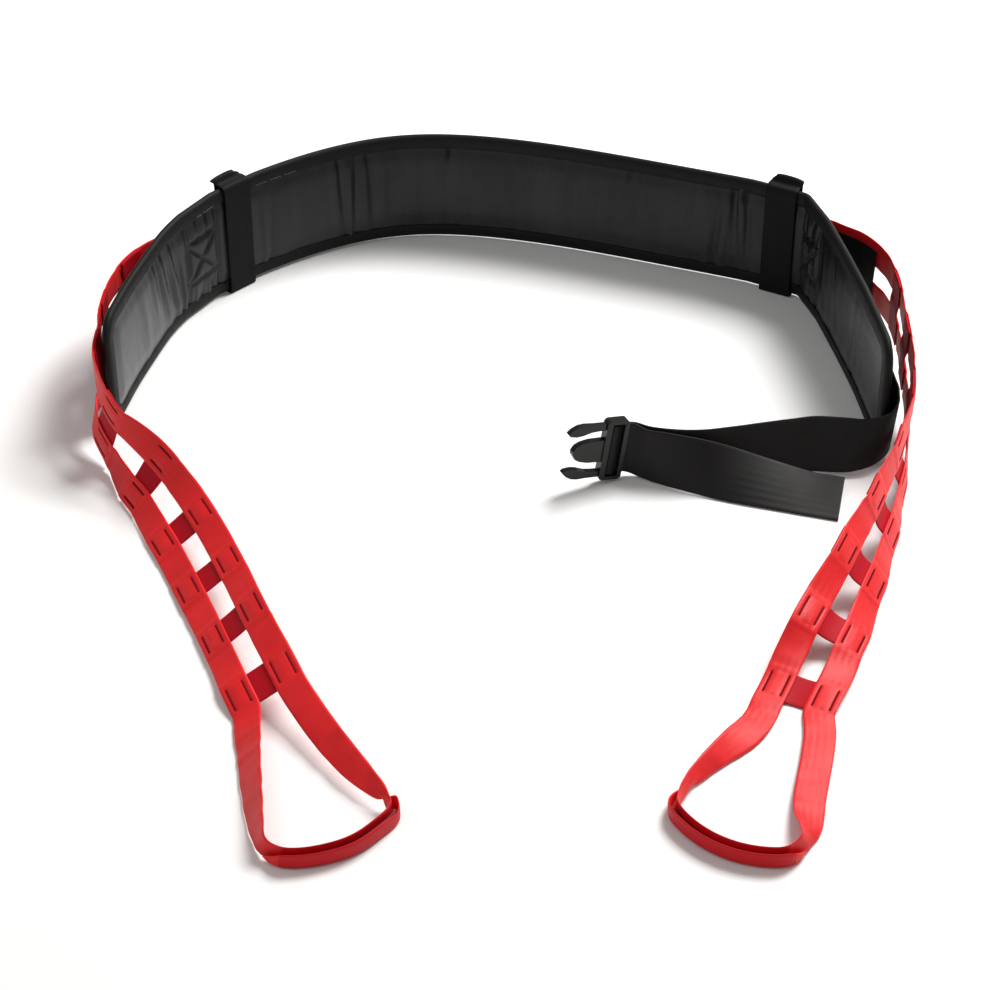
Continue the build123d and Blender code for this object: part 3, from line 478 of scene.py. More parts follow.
def math_node(nt, op, a, b=None, c=None, clamp=False):
    n = nt.nodes.new("ShaderNodeMath")
    n.operation = op
    n.use_clamp = clamp
    for i, v in enumerate((a, b, c)):
        if v is None:
            continue
        if isinstance(v, (int, float)):
            n.inputs[i].default_value = v
        else:
            nt.links.new(v, n.inputs[i])
    return n.outputs[0]


def mix_rgb(nt, fac, a, b):
    n = nt.nodes.new("ShaderNodeMix")
    n.data_type = "RGBA"
    for sock, v in ((n.inputs[0], fac), (n.inputs[6], a), (n.inputs[7], b)):
        if isinstance(v, (int, float)):
            sock.default_value = v
        elif isinstance(v, tuple):
            sock.default_value = v if len(v) == 4 else (*v, 1.0)
        else:
            nt.links.new(v, sock)
    return n.outputs[2]


def uv_axes(nt):
    tc = nt.nodes.new("ShaderNodeTexCoord")
    sp = nt.nodes.new("ShaderNodeSeparateXYZ")
    nt.links.new(tc.outputs["UV"], sp.inputs[0])
    return sp.outputs[0], sp.outputs[1], tc


def obj_noise(nt, tc, scale, detail=3.0, rough=0.5, stretch=None, src="Object"):
    n = nt.nodes.new("ShaderNodeTexNoise")
    n.inputs["Scale"].default_value = scale
    n.inputs["Detail"].default_value = detail
    n.inputs["Roughness"].default_value = rough
    if stretch is not None:
        mp = nt.nodes.new("ShaderNodeMapping")
        mp.inputs["Scale"].default_value = stretch
        nt.links.new(tc.outputs[src], mp.inputs["Vector"])
        nt.links.new(mp.outputs[0], n.inputs["Vector"])
    else:
        nt.links.new(tc.outputs[src], n.inputs["Vector"])
    return n.outputs["Fac"]


def bump(nt, b, height, strength, distance):
    n = nt.nodes.new("ShaderNodeBump")
    n.inputs["Strength"].default_value = strength
    n.inputs["Distance"].default_value = distance
    nt.links.new(height, n.inputs["Height"])
    nt.links.new(n.outputs["Normal"], b.inputs["Normal"])


def webbing(name, light, dark, rough, sheen=0.0, sheen_tint=(1, 1, 1), pitch=1.5, column=3.0, angle=0.9, depth=0.00018,
            spec=0.5, mottling=0.35, coat=0.0, strength=0.45):
    """Woven strap: slanting ribs that turn back in each column of yarn (a herringbone tape)."""
    m, nt, b = new_mat(name)
    u, v, tc = uv_axes(nt)
    tri = math_node(nt, "PINGPONG", math_node(nt, "DIVIDE", u, column * M), 1.0)
    ph = math_node(nt, "ADD", math_node(nt, "DIVIDE", v, pitch * M), math_node(nt, "MULTIPLY", tri, column / pitch * angle))
    rib = math_node(nt, "MULTIPLY_ADD", math_node(nt, "SINE", math_node(nt, "MULTIPLY", ph, 2 * math.pi)), 0.5, 0.5)
    colrib = math_node(nt, "MULTIPLY_ADD", math_node(nt, "COSINE", math_node(nt, "MULTIPLY", math_node(nt, "DIVIDE", u, column * M * 0.5), 2 * math.pi)), 0.25, 0.25)
    fuzz = obj_noise(nt, tc, 1900.0, 2.0)
    h = math_node(nt, "ADD", math_node(nt, "MULTIPLY_ADD", colrib, 0.15, rib), math_node(nt, "MULTIPLY", fuzz, 0.5))
    wear = obj_noise(nt, tc, 34.0, 4.0, 0.55)
    streak = obj_noise(nt, tc, 1.0, 3.0, 0.6, (700.0, 22.0, 1.0), "UV")
    shade = math_node(nt, "ADD", math_node(nt, "MULTIPLY", wear, 0.9), math_node(nt, "MULTIPLY", streak, 0.1))
    shade = math_node(nt, "MULTIPLY_ADD", math_node(nt, "SUBTRACT", shade, 0.5), mottling * 2.2, math_node(nt, "MULTIPLY_ADD", rib, 0.45, 0.3), clamp=True)
    nt.links.new(mix_rgb(nt, shade, dark, light), b.inputs["Base Color"])
    r = math_node(nt, "MULTIPLY_ADD", wear, 0.2, rough - 0.1, clamp=True)
    nt.links.new(r, b.inputs["Roughness"])
    b.inputs["Specular IOR Level"].default_value = spec
    b.inputs["Sheen Weight"].default_value = sheen
    b.inputs["Sheen Roughness"].default_value = 0.45
    b.inputs["Sheen Tint"].default_value = (*sheen_tint, 1.0)
    bump(nt, b, h, strength, depth)
    return m


def taffeta(name, light, dark, rough):
    """Smooth woven nylon of the pad's lining, with a faint pull upwards and downwards, and painted reflection, shade
    and sheen in its colour.
    """
    m, nt, b = new_mat(name)
    u, v, tc = uv_axes(nt)
    wx = math_node(nt, "SINE", math_node(nt, "MULTIPLY", u, 2 * math.pi / (0.7 * M)))
    wz = math_node(nt, "SINE", math_node(nt, "MULTIPLY", v, 2 * math.pi / (0.7 * M)))
    weave = math_node(nt, "MULTIPLY", wx, wz)
    pull = obj_noise(nt, tc, 1.0, 4.0, 0.55, (95.0, 9.0, 1.0), "UV")
    broad = obj_noise(nt, tc, 1.0, 3.0, 0.5, (14.0, 10.0, 1.0), "UV")
    h = math_node(nt, "ADD", math_node(nt, "MULTIPLY", weave, 0.006), math_node(nt, "MULTIPLY_ADD", pull, 0.28, math_node(nt, "MULTIPLY", broad, 1.3)))
    # painted light in the lining's colour: a painted reflection of the floor makes it lighter low down, where it faces
    # the floor, and on the left wing; painted sheen lies in soft patches between its pulls, and painted shade darkens
    # the right wing
    low = math_node(nt, "MULTIPLY_ADD", v, -11.0, 1.05, clamp=True)
    left = math_node(nt, "MULTIPLY_ADD", u, -14.0, 2.3, clamp=True)
    right = math_node(nt, "MULTIPLY_ADD", u, 9.0, -7.6, clamp=True)
    painted_sheen_patches = math_node(nt, "MULTIPLY_ADD", math_node(nt, "SUBTRACT", pull, 0.5), 0.5, math_node(nt, "MULTIPLY", math_node(nt, "SUBTRACT", broad, 0.5), 1.1))
    painted_light_fac = math_node(nt, "MULTIPLY_ADD", math_node(nt, "ADD", low, painted_sheen_patches), 0.32, math_node(nt, "MULTIPLY", math_node(nt, "MULTIPLY", left, low), 0.92))
    painted_light_fac = math_node(nt, "MULTIPLY_ADD", right, -0.42, painted_light_fac, clamp=True)
    nt.links.new(mix_rgb(nt, painted_light_fac, dark, light), b.inputs["Base Color"])
    nt.links.new(math_node(nt, "MULTIPLY_ADD", broad, 0.16, rough - 0.08), b.inputs["Roughness"])
    b.inputs["Specular IOR Level"].default_value = 0.19
    b.inputs["Sheen Weight"].default_value = 0.0
    b.inputs["Sheen Roughness"].default_value = 0.4
    bump(nt, b, h, 0.8, 0.0016)
    return m


def plastic(name, color, rough):
    m, nt, b = new_mat(name)
    u, v, tc = uv_axes(nt)
    grain = obj_noise(nt, tc, 900.0, 3.0, 0.6)
    smear = obj_noise(nt, tc, 60.0, 4.0, 0.6)
    lighter = tuple(min(1.0, c * 1.7 + 0.006) for c in color)
    nt.links.new(mix_rgb(nt, math_node(nt, "MULTIPLY", smear, 0.6), color, lighter), b.inputs["Base Color"])
    nt.links.new(math_node(nt, "MULTIPLY_ADD", smear, 0.22, rough - 0.1), b.inputs["Roughness"])
    b.inputs["Specular IOR Level"].default_value = 0.30
    bump(nt, b, grain, 0.15, 0.00004)
    return m


def thread(name, color, rough=0.45, spec=0.6, sheen=0.2):
    m, nt, b = new_mat(name)
    u, v, tc = uv_axes(nt)
    tw = math_node(nt, "MULTIPLY_ADD", math_node(nt, "SINE", math_node(nt, "MULTIPLY", math_node(nt, "ADD", math_node(nt, "MULTIPLY", u, 1.0), v), 2 * math.pi / (0.5 * M))), 0.5, 0.5)
    dk = tuple(c * 0.55 for c in color)
    nt.links.new(mix_rgb(nt, tw, dk, color), b.inputs["Base Color"])
    b.inputs["Roughness"].default_value = rough
    b.inputs["Specular IOR Level"].default_value = spec
    b.inputs["Sheen Weight"].default_value = sheen
    bump(nt, b, tw, 0.4, 0.00005)
    return m


RED = webbing("red_webbing_mat", (0.90, 0.012, 0.014), (0.50, 0.002, 0.006), 0.50, 0.04, (1.0, 0.45, 0.40), spec=0.34, mottling=0.42)
# the cross straps are a darker red than the rails: partly their own tone and partly painted shade, where they lie
# recessed under the rails
RUNG = webbing("red_rung_mat", (0.50, 0.0, 0.010), (0.34, 0.0, 0.007), 0.62, 0.02, (1.0, 0.3, 0.3), pitch=1.3, column=2.4, spec=0.16, mottling=0.2)
# a darker copy of the red webbing for the grip: painted shade on its front face, which stands away from the light
GRIPM = webbing("red_grip_mat", (0.64, 0.002, 0.010), (0.42, 0.0, 0.006), 0.52, 0.02, (1.0, 0.4, 0.4), spec=0.25, mottling=0.2)
BLACK = webbing("black_webbing_mat", (0.011, 0.010, 0.010), (0.005, 0.005, 0.005), 0.55, 0.0, (0.9, 0.9, 1.0), pitch=1.7, column=3.6, spec=0.20, mottling=0.3)
KEEP = webbing("keeper_webbing_mat", (0.006, 0.006, 0.006), (0.003, 0.003, 0.003), 0.62, 0.0, (0.9, 0.9, 1.0), pitch=1.5, column=3.0, spec=0.12, mottling=0.25)
BINDM = webbing("binding_tape_mat", (0.007, 0.007, 0.007), (0.003, 0.003, 0.003), 0.58, 0.0, (0.9, 0.9, 1.0), pitch=0.9, column=1.6, spec=0.16, mottling=0.25, depth=0.0001)
COVERM = webbing("cover_fabric_mat", (0.014, 0.014, 0.015), (0.006, 0.006, 0.007), 0.55, 0.05, (0.9, 0.9, 1.0), pitch=0.8, column=0.8, spec=0.35, mottling=0.3, depth=0.00012)
# the lining's light colour is its painted reflection and sheen, its dark colour the painted shade at its top and on
# its right wing
LINING = taffeta("lining_mat", (0.085, 0.086, 0.094), (0.004, 0.004, 0.005), 0.30)
PLAST = plastic("buckle_plastic_mat", (0.004, 0.004, 0.004), 0.24)
RTHREAD = thread("red_thread_mat", (0.26, 0.002, 0.010), 0.75, 0.15, 0.0)
BTHREAD = thread("black_thread_mat", (0.009, 0.009, 0.009), 0.5, 0.4, 0.05)
# light grey thread: a painted glint on the black binding stitches
GLINT_PAINT_THREAD = thread("painted_glint_thread_mat", (0.30, 0.30, 0.29))
COREM, _nt, _b = new_mat("grip_core_mat")
_u, _v, _tc = uv_axes(_nt)
_n = obj_noise(_nt, _tc, 500.0, 3.0)
_nt.links.new(mix_rgb(_nt, _n, (0.16, 0.002, 0.006), (0.26, 0.004, 0.010)), _b.inputs["Base Color"])
_b.inputs["Roughness"].default_value = 0.8
bump(_nt, _b, _n, 0.4, 0.0003)

# ---------------------------------------------------------------- pad surface
_pts = [np.array(p, float) for p in PAD]
_lead = {5, 6, 23, 24}
_line = []
for _i in range(len(_pts) - 1):
    _line.append(_pts[_i])
    if _i in _lead:
        _d = (_pts[_i + 1] - _pts[_i]) / np.linalg.norm(_pts[_i + 1] - _pts[_i])
        _line.append(_pts[_i] + _d * 4.0)
        _line.append(_pts[_i + 1] - _d * 4.0)
_line.append(_pts[-1])
_line = np.array(_line)
for _ in range(4):
    _q = [_line[0]]
    for _a, _b2 in zip(_line[:-1], _line[1:]):
        _q += [0.75 * _a + 0.25 * _b2, 0.25 * _a + 0.75 * _b2]
    _q.append(_line[-1])
    _line = np.array(_q)
_ls = chord(_line)
PAD_L = _ls[-1]
_ss = np.linspace(0, PAD_L, int(PAD_L / 1.5) + 1)
_pl = np.stack([np.interp(_ss, _ls, _line[:, 0]), np.interp(_ss, _ls, _line[:, 1])], -1)
_tt = vn(np.gradient(_pl, axis=0))
_tt = vn(soften(_tt, 4))


def pad_s(pt):
    """Distance along the pad's inner face of the point nearest to pt."""
    i = np.argmin(np.linalg.norm(_pl - np.asarray(pt)[None, :2], axis=1))
    return _ss[i]


def pad(s, z, d):
    """Point of the pad: s along it, z up, d outwards from its inner face, all in mm."""
    s, z, d = np.broadcast_arrays(np.asarray(s, float), np.asarray(z, float), np.asarray(d, float))
    sc = np.clip(s, 0, PAD_L)
    x, y = np.interp(sc, _ss, _pl[:, 0]), np.interp(sc, _ss, _pl[:, 1])
    tx, ty = np.interp(sc, _ss, _tt[:, 0]), np.interp(sc, _ss, _tt[:, 1])
    l = np.hypot(tx, ty)
    tx, ty = tx / l, ty / l
    ex = s - sc
    return np.stack([x + tx * ex - ty * d, y + ty * ex + tx * d, z], -1)


Z0, Z1 = 1.8, 116.8
RC = 24.0                      # corner radius of the pad's ends


def inset(s, z):
    """Distance inwards from the pad's rounded outline."""
    hx, hz = PAD_L / 2, (Z1 - Z0) / 2
    qx = np.abs(s - hx) - (hx - RC)
    qz = np.abs(z - (Z0 + Z1) / 2) - (hz - RC)
    outside = np.hypot(np.maximum(qx, 0), np.maximum(qz, 0))
    return RC - outside - np.minimum(np.maximum(qx, qz), 0)


S5, S6, S7 = pad_s(_pts[5]), pad_s(_pts[6]), pad_s(_pts[7])
S23, S24, S25 = pad_s(_pts[23]), pad_s(_pts[24]), pad_s(_pts[25])
XL = ((S5 + S6) / 2 + 1.5, 22.5)     # crossed boxes: middle and half side
XR = ((S24 + S25) / 2, 20.0)
ZC = 59.0

LEFT_RUN = 37.0                # the creases are measured from a point this far in from the pad's left end

# creases of the lining: place, lean, width, height, and where they are strongest (0 bottom, 1 top)
CREASES = [
    (60, 0.10, 7.0, 0.5, 0.5), (88, 0.15, 4.0, 0.7, 0.8), (100, 0.18, 3.2, -0.8, 0.7), (110, 0.22, 3.6, 0.9, 0.55), (121, 0.26, 3.0, -0.8, 0.5),
    (131, 0.22, 3.4, 0.9, 0.6), (141, 0.12, 2.6, -0.8, 0.4), (148, 0.05, 2.6, 0.7, 0.2),
    (168, 0.0, 2.4, 0.7, 1.0), (176, 0.0, 2.4, -0.7, 1.0), (184, 0.0, 2.4, 0.7, 1.0), (192, 0.0, 2.4, -0.7, 1.0),
    (168, 0.0, 2.4, 0.7, 0.0), (177, 0.0, 2.4, -0.7, 0.0), (187, 0.0, 2.4, 0.7, 0.0), (195, 0.0, 2.4, -0.6, 0.0),
    (262, 0.0, 3.0, 0.6, 0.4), (270, -0.04, 3.0, -0.5, 0.3), (283, 0.05, 8.0, 0.4, 0.6), (305, -0.03, 9.0, -0.35, 0.4), (328, 0.05, 5.0, 0.4, 0.9),
    (343, 0.03, 3.2, 0.8, 0.6), (351, 0.05, 2.8, -1.0, 0.5), (358, 0.0, 2.6, 1.1, 0.4), (365, -0.04, 3.0, -1.1, 0.5), (374, 0.03, 3.0, 1.1, 0.6), (383, 0.02, 3.4, -0.8, 0.5), (394, 0.0, 4.0, 0.6, 0.5),
    (409, 0.02, 5.0, -0.35, 0.8), (428, -0.03, 5.0, 0.4, 0.7), (449, -0.16, 3.4, -0.8, 0.9), (457, -0.13, 3.4, 0.5, 0.9), (464, 0.02, 2.4, -0.6, 0.0),
    (495, 0.02, 9.0, 0.3, 0.5), (524, 0.0, 2.6, -0.55, 0.5), (533, 0.0, 4.0, 0.35, 0.5), (552, 0.02, 2.8, -0.5, 1.0), (561, 0.03, 2.8, 0.5, 1.0), (571, 0.0, 3.0, -0.6, 1.0),
    (580, 0.02, 2.8, 0.5, 1.0), (592, -0.02, 2.6, -0.5, 1.0), (603, 0.02, 3.4, 0.4, 0.9), (622, 0.0, 8.0, 0.3, 0.6), (643, 0.0, 2.4, -0.9, 1.0), (651, 0.02, 3.0, 0.5, 1.0),
    (676, 0.02, 10.0, 0.3, 0.4), (698, -0.05, 4.0, 0.5, 0.6), (709, -0.06, 3.4, -0.6, 0.6), (722, 0.05, 4.4, 0.6, 0.4), (733, -0.10, 3.4, -0.9, 0.3), (741, -0.08, 3.6, 1.0, 0.4),
    (751, 0.04, 3.0, -1.0, 0.7), (758, 0.05, 2.8, 1.2, 0.7), (765, 0.02, 2.6, -0.9, 0.6),
    (829, 0.05, 2.6, 0.9, 0.8), (836, -0.22, 2.6, -0.9, 0.7), (843, 0.22, 2.8, 1.0, 0.6), (850, -0.18, 2.6, -1.0, 0.5), (858, 0.15, 2.8, 0.9, 0.4), (868, -0.06, 3.4, -0.7, 0.5), (880, 0.06, 4.0, 0.5, 0.4),
    (905, 0.02, 8.0, -0.35, 0.6), (940, 0.0, 9.0, 0.35, 0.5), (975, 0.02, 6.0, -0.4, 0.5),
]


def lining_d(s, z):
    """How far outwards the lining lies: it crowns towards the wearer between its seams."""
    b = inset(s, z)
    d = 2.5 - 2.0 * sstep(b, 10.0, 30.0)
    zr = (z - Z0) / (Z1 - Z0)
    for s0, lean, w, a, where in CREASES:
        s0 = s0 + LEFT_RUN
        a = a * 1.7
        x = (s - s0 + lean * (z - ZC)) / w
        near = np.abs(s - s0) < 6 * w + 30
        g = (1 - 0.6 * x * x) * np.exp(-0.5 * x * x)
        if where in (0.0, 1.0):
            v = np.exp(-((zr - (0.12 if where == 0.0 else 0.88)) / 0.17) ** 2)
        else:
            v = np.exp(-((zr - where) / 0.42) ** 2)
        d = d - np.where(near, a * 0.85 * g * v, 0.0)
    d = d - 0.22 * rough_line(s, 11, 90) * sstep(b, 12, 30) - 0.15 * rough_line(s + 0.4 * z, 5, 34)
    # stitched lines pull the lining in
    for mid, h in (XL, XR):
        rs, rz = np.abs(s - mid), np.abs(z - ZC)
        inb = np.maximum(rs, rz) - h
        edge = np.exp(-(inb / 2.0) ** 2)
        diag = np.minimum(np.abs((s - mid) - (z - ZC)), np.abs((s - mid) + (z - ZC))) / 1.4142
        cross = np.exp(-(diag / 1.8) ** 2) * sstep(-inb, -0.5, 1.0)
        seam = np.exp(-((rs - h) / 2.2) ** 2) * sstep(b, 10, 16)
        puff = sstep(-inb, 1.0, 7.0) * sstep(diag, 1.0, 6.0)
        d = d + 2.0 * np.maximum(np.maximum(edge, cross), seam * 0.9) - 0.9 * puff
    # under the keepers it is pressed flat
    for a0, a1 in ((S6, S7), (S23 + 5.0, S24 + 5.0)):
        m = (a0 + a1) / 2
        k = sstep(23 - np.abs(s - m), 0, 6)
        d = d * (1 - k) + np.maximum(d, 0.9) * k
    return np.clip(d, -0.6, 4.6)


def grid(name, s, z, dfun, mat, flip=False):
    """One sheet of the pad over the grid s by z."""
    Sg, Zg = np.meshgrid(s, z, indexing="ij")
    P = pad(Sg, Zg, dfun(Sg, Zg))
    m, n = Sg.shape
    faces, uv = [], []
    for i in range(m - 1):
        for j in range(n - 1):
            f = [(i, j), (i + 1, j), (i + 1, j + 1), (i, j + 1)]
            if flip:
                f = f[::-1]
            faces.append(tuple(a * n + b for a, b in f))
            uv += [(Sg[a, b] * M, Zg[a, b] * M) for a, b in f]
    me = bpy.data.meshes.new(name)
    me.from_pydata([tuple(v) for v in P.reshape(-1, 3) * M], [], faces)
    lay = me.uv_layers.new(name="UVMap")
    lay.data.foreach_set("uv", np.asarray(uv).ravel())
    me.polygons.foreach_set("use_smooth", [True] * len(me.polygons))
    me.update()
    ob = bpy.data.objects.new(name, me)
    bpy.context.scene.collection.objects.link(ob)
    ob.data.materials.append(mat)
    return ob


def closed_sheet(name, s, z, d_in, d_out, mat):
    """Closed thin sheet of the pad between two depth functions (outer face first)."""
    Sg, Zg = np.meshgrid(s, z, indexing="ij")
    m, n = Sg.shape
    A = pad(Sg, Zg, d_in(Sg, Zg)).reshape(-1, 3)
    B = pad(Sg, Zg, d_out(Sg, Zg)).reshape(-1, 3)
    faces, uv = [], []
    k = m * n

    def put(f, pts):
        faces.append(tuple(f))
        uv.extend(pts)

    def q(a, b):
        return (Sg[a, b] * M, Zg[a, b] * M)
    for i in range(m - 1):
        for j in range(n - 1):
            c = [(i, j), (i + 1, j), (i + 1, j + 1), (i, j + 1)]
            put([a * n + b for a, b in c], [q(a, b) for a, b in c])
            put([k + a * n + b for a, b in c[::-1]], [q(a, b) for a, b in c[::-1]])
    rim = [(i, 0) for i in range(m)] + [(m - 1, j) for j in range(1, n)] + [(i, n - 1) for i in range(m - 2, -1, -1)] + [(0, j) for j in range(n - 2, 0, -1)]
    for (a, b), (c, e) in zip(rim, rim[1:] + rim[:1]):
        put([a * n + b, c * n + e, k + c * n + e, k + a * n + b], [q(a, b), q(c, e), q(c, e), q(a, b)])
    return mesh_object(name, np.vstack([A, B]), faces, mat, uv)


_sp = 1.8
s_lin = np.linspace(8.0, PAD_L - 8.0, int(PAD_L / _sp))
z_lin = np.linspace(Z0 + 8.0, Z1 - 8.0, 60)
lining = closed_sheet("pad_lining_panel", s_lin, z_lin, lining_d, lambda s, z: lining_d(s, z) + 0.9, LINING)
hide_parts("pad_inner_lining", "pad_foam_core")
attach(lining, "pad")


def cover_d(s, z):
    b = inset(s, z)
    d = 8.2 + 2.3 * sstep(b, 10.0, 32.0) + 0.25 * rough_line(s, 21, 50) * sstep(b, 12, 30)
    return np.minimum(d, 10.6)


s_cov = np.linspace(8.0, PAD_L - 8.0, int(PAD_L / 4.0))
z_cov = np.linspace(Z0 + 8.0, Z1 - 8.0, 40)
cover = closed_sheet("pad_outer_panel", s_cov, z_cov, lambda s, z: cover_d(s, z) - 3.2, cover_d, COVERM)
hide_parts("pad_outer_cover")
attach(cover, "pad")


# binding tape, folded over the edge all the way round
def outline(step=3.0):
    """The pad's rounded outline: s, z and the direction inwards."""
    out = []
    hx, hz = PAD_L, Z1
    for i in range(int((hx - 2 * RC) / step) + 1):
        out.append((RC + i * (hx - 2 * RC) / int((hx - 2 * RC) / step), Z0, 0.0, 1.0))
    for cx, cz, a0 in ((hx - RC, Z0 + RC, -90.0), (hx - RC, Z1 - RC, 0.0)):
        for i in range(1, 13):
            a = math.radians(a0 + 90.0 * i / 12)
            out.append((cx + RC * math.cos(a), cz + RC * math.sin(a), -math.cos(a), -math.sin(a)))
        if a0 == -90.0:
            n = int((Z1 - Z0 - 2 * RC) / step)
            for i in range(1, n):
                out.append((hx, Z0 + RC + (Z1 - Z0 - 2 * RC) * i / n, -1.0, 0.0))
    n = int((hx - 2 * RC) / step)
    for i in range(1, n + 1):
        out.append((hx - RC - i * (hx - 2 * RC) / n, Z1, 0.0, -1.0))
    for cx, cz, a0 in ((RC, Z1 - RC, 90.0), (RC, Z0 + RC, 180.0)):
        for i in range(1, 13):
            a = math.radians(a0 + 90.0 * i / 12)
            if a0 == 180.0 and i == 12:
                break
            out.append((cx + RC * math.cos(a), cz + RC * math.sin(a), -math.cos(a), -math.sin(a)))
        if a0 == 90.0:
            n = int((Z1 - Z0 - 2 * RC) / step)
            for i in range(1, n):
                out.append((0.0, Z1 - RC - (Z1 - Z0 - 2 * RC) * i / n, 1.0, 0.0))
    return np.array(out)


OUT = outline(2.0)
_w = 14.0
_sec = []                                       # (inset, depth) round the tape's section
_in = [(_w, 1.75), (_w - 0.9, 1.25), (10.0, 1.15), (7.0, 1.2), (4.6, 1.45), (2.6, 2.05), (1.1, 3.1), (0.25, 4.4), (0.0, 5.5),
       (0.25, 6.6), (1.1, 7.9), (2.6, 8.9), (4.6, 9.45), (7.0, 9.7), (10.0, 9.75), (_w - 0.9, 9.65), (_w, 9.2)]
_sec = _in + [(12.5, 8.5), (9.0, 8.5), (5.0, 8.2), (3.0, 7.4), (2.0, 5.5), (3.0, 3.6), (5.0, 2.6), (9.0, 2.3), (12.5, 2.3)]
_sec = np.array(_sec)
_m = len(OUT)
_along = np.r_[0, np.cumsum(np.hypot(np.diff(OUT[:, 0]), np.diff(OUT[:, 1])))]
_b = np.tile(_sec[None, :, 0], (_m, 1))
_dd = np.tile(_sec[None, :, 1], (_m, 1))
_puck = 0.32 * rough_line(_along, 31, 26, 3)[:, None] * sstep(_b, 1.0, 6.0)
_wave = 0.30 * rough_line(_along, 33, 120, 2)[:, None]
_dd = _dd + np.where(_dd < 5.5, _puck, -_puck * 0.6)
# a row of stitches draws the tape in near its inner edge
_dd = _dd + np.where((_b > 11.0) & (_dd < 5.5), 0.22, 0.0)
_bb = _b + np.where(_b > 12.9, 1.0, 0.0) * _wave
_sg = OUT[:, None, 0] + OUT[:, None, 2] * _bb
_zg = OUT[:, None, 1] + OUT[:, None, 3] * _bb
_zg = np.maximum(_zg, Z0)
_ring = pad(_sg, _zg, _dd)
_ring = np.concatenate([_ring, _ring[:1]])
_along = np.r_[_along, _along[-1] + 2.0]
_acr = np.r_[0, np.cumsum(np.linalg.norm(np.diff(np.vstack([_sec, _sec[:1]]), axis=0), axis=1))]
binding = skin("pad_edge_binding", _ring, BINDM, _acr, _along, closed=True, caps=False)
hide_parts("top_edge_binding", "bottom_edge_binding", "left_end_binding", "right_end_binding")
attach(binding, "pad")


# stitches that hold the binding, inside and outside; on stretches of the top seam some inner stitches are light grey,
# as painted glints
def seam_stitches(side, inset_mm, pitch=3.4, ln=2.5):
    lines, glint = [], []
    per = _along[-1]
    k = 0
    a = 0.0
    sx = np.interp
    while a < per - pitch:
        t = np.array([a, a + ln * 0.5, a + ln])
        s = sx(t, _along[:-1], OUT[:, 0]) + sx(t, _along[:-1], OUT[:, 2]) * inset_mm
        z = sx(t, _along[:-1], OUT[:, 1]) + sx(t, _along[:-1], OUT[:, 3]) * inset_mm
        if side == "in":
            d = np.array([1.35, 1.08, 1.35])
        else:
            d = np.array([9.6, 9.85, 9.6])
        line = pad(s, z, d)
        top = z.mean() > Z1 - 20
        here = s.mean()
        # painted glint: these inner stitches on the top seam get the light grey thread, a painted highlight where the
        # black thread catches the light
        painted_glint = side == "in" and top and ((176 < here - LEFT_RUN < 199) or (252 < here - LEFT_RUN < 300)) and (k * 7919) % 5 != 0
        (glint if painted_glint else lines).append(line)
        a += pitch
        k += 1
    return lines, glint


_a, _g = seam_stitches("in", 12.0)
_c, _ = seam_stitches("out", 12.0)
edge_st = tubes("binding_stitches", _a + _c, 0.24, BTHREAD, 4)
# the light grey stitches are painted glints
glint_st = tubes("binding_stitches_painted_glint", _g, 0.26, GLINT_PAINT_THREAD, 4)
for o in (edge_st, glint_st):
    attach(o, "pad")


# crossed box stitching and the full height seams beside it
def on_lining(s0, z0, s1, z1, pitch=3.4, ln=2.9):
    out = []
    n = int(math.hypot(s1 - s0, z1 - z0) / pitch)
    for i in range(n):
        t = np.array([i, i + ln / pitch * 0.5, i + ln / pitch]) / n
        s, z = s0 + (s1 - s0) * t, z0 + (z1 - z0) * t
        d = lining_d(s, z) + np.array([0.0, -0.28, 0.0])
        out.append(pad(s, z, d))
    return out


for tag, (mid, h) in (("left", XL), ("right", XR)):
    L = []
    c = [(mid - h, ZC - h), (mid + h, ZC - h), (mid + h, ZC + h), (mid - h, ZC + h)]
    for (p, q) in ((0, 1), (1, 2), (2, 3), (3, 0), (0, 2), (1, 3)):
        L += on_lining(*c[p], *c[q])
    for e in (-1, 1):
        L += on_lining(mid + e * h, Z0 + 13.0, mid + e * h, ZC - h)
        L += on_lining(mid + e * h, ZC + h, mid + e * h, Z1 - 13.0)
    o = tubes(tag + "_crossed_stitching", L, 0.34, BTHREAD, 4)
    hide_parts(tag + "_box_stitching")
    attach(o, "pad")


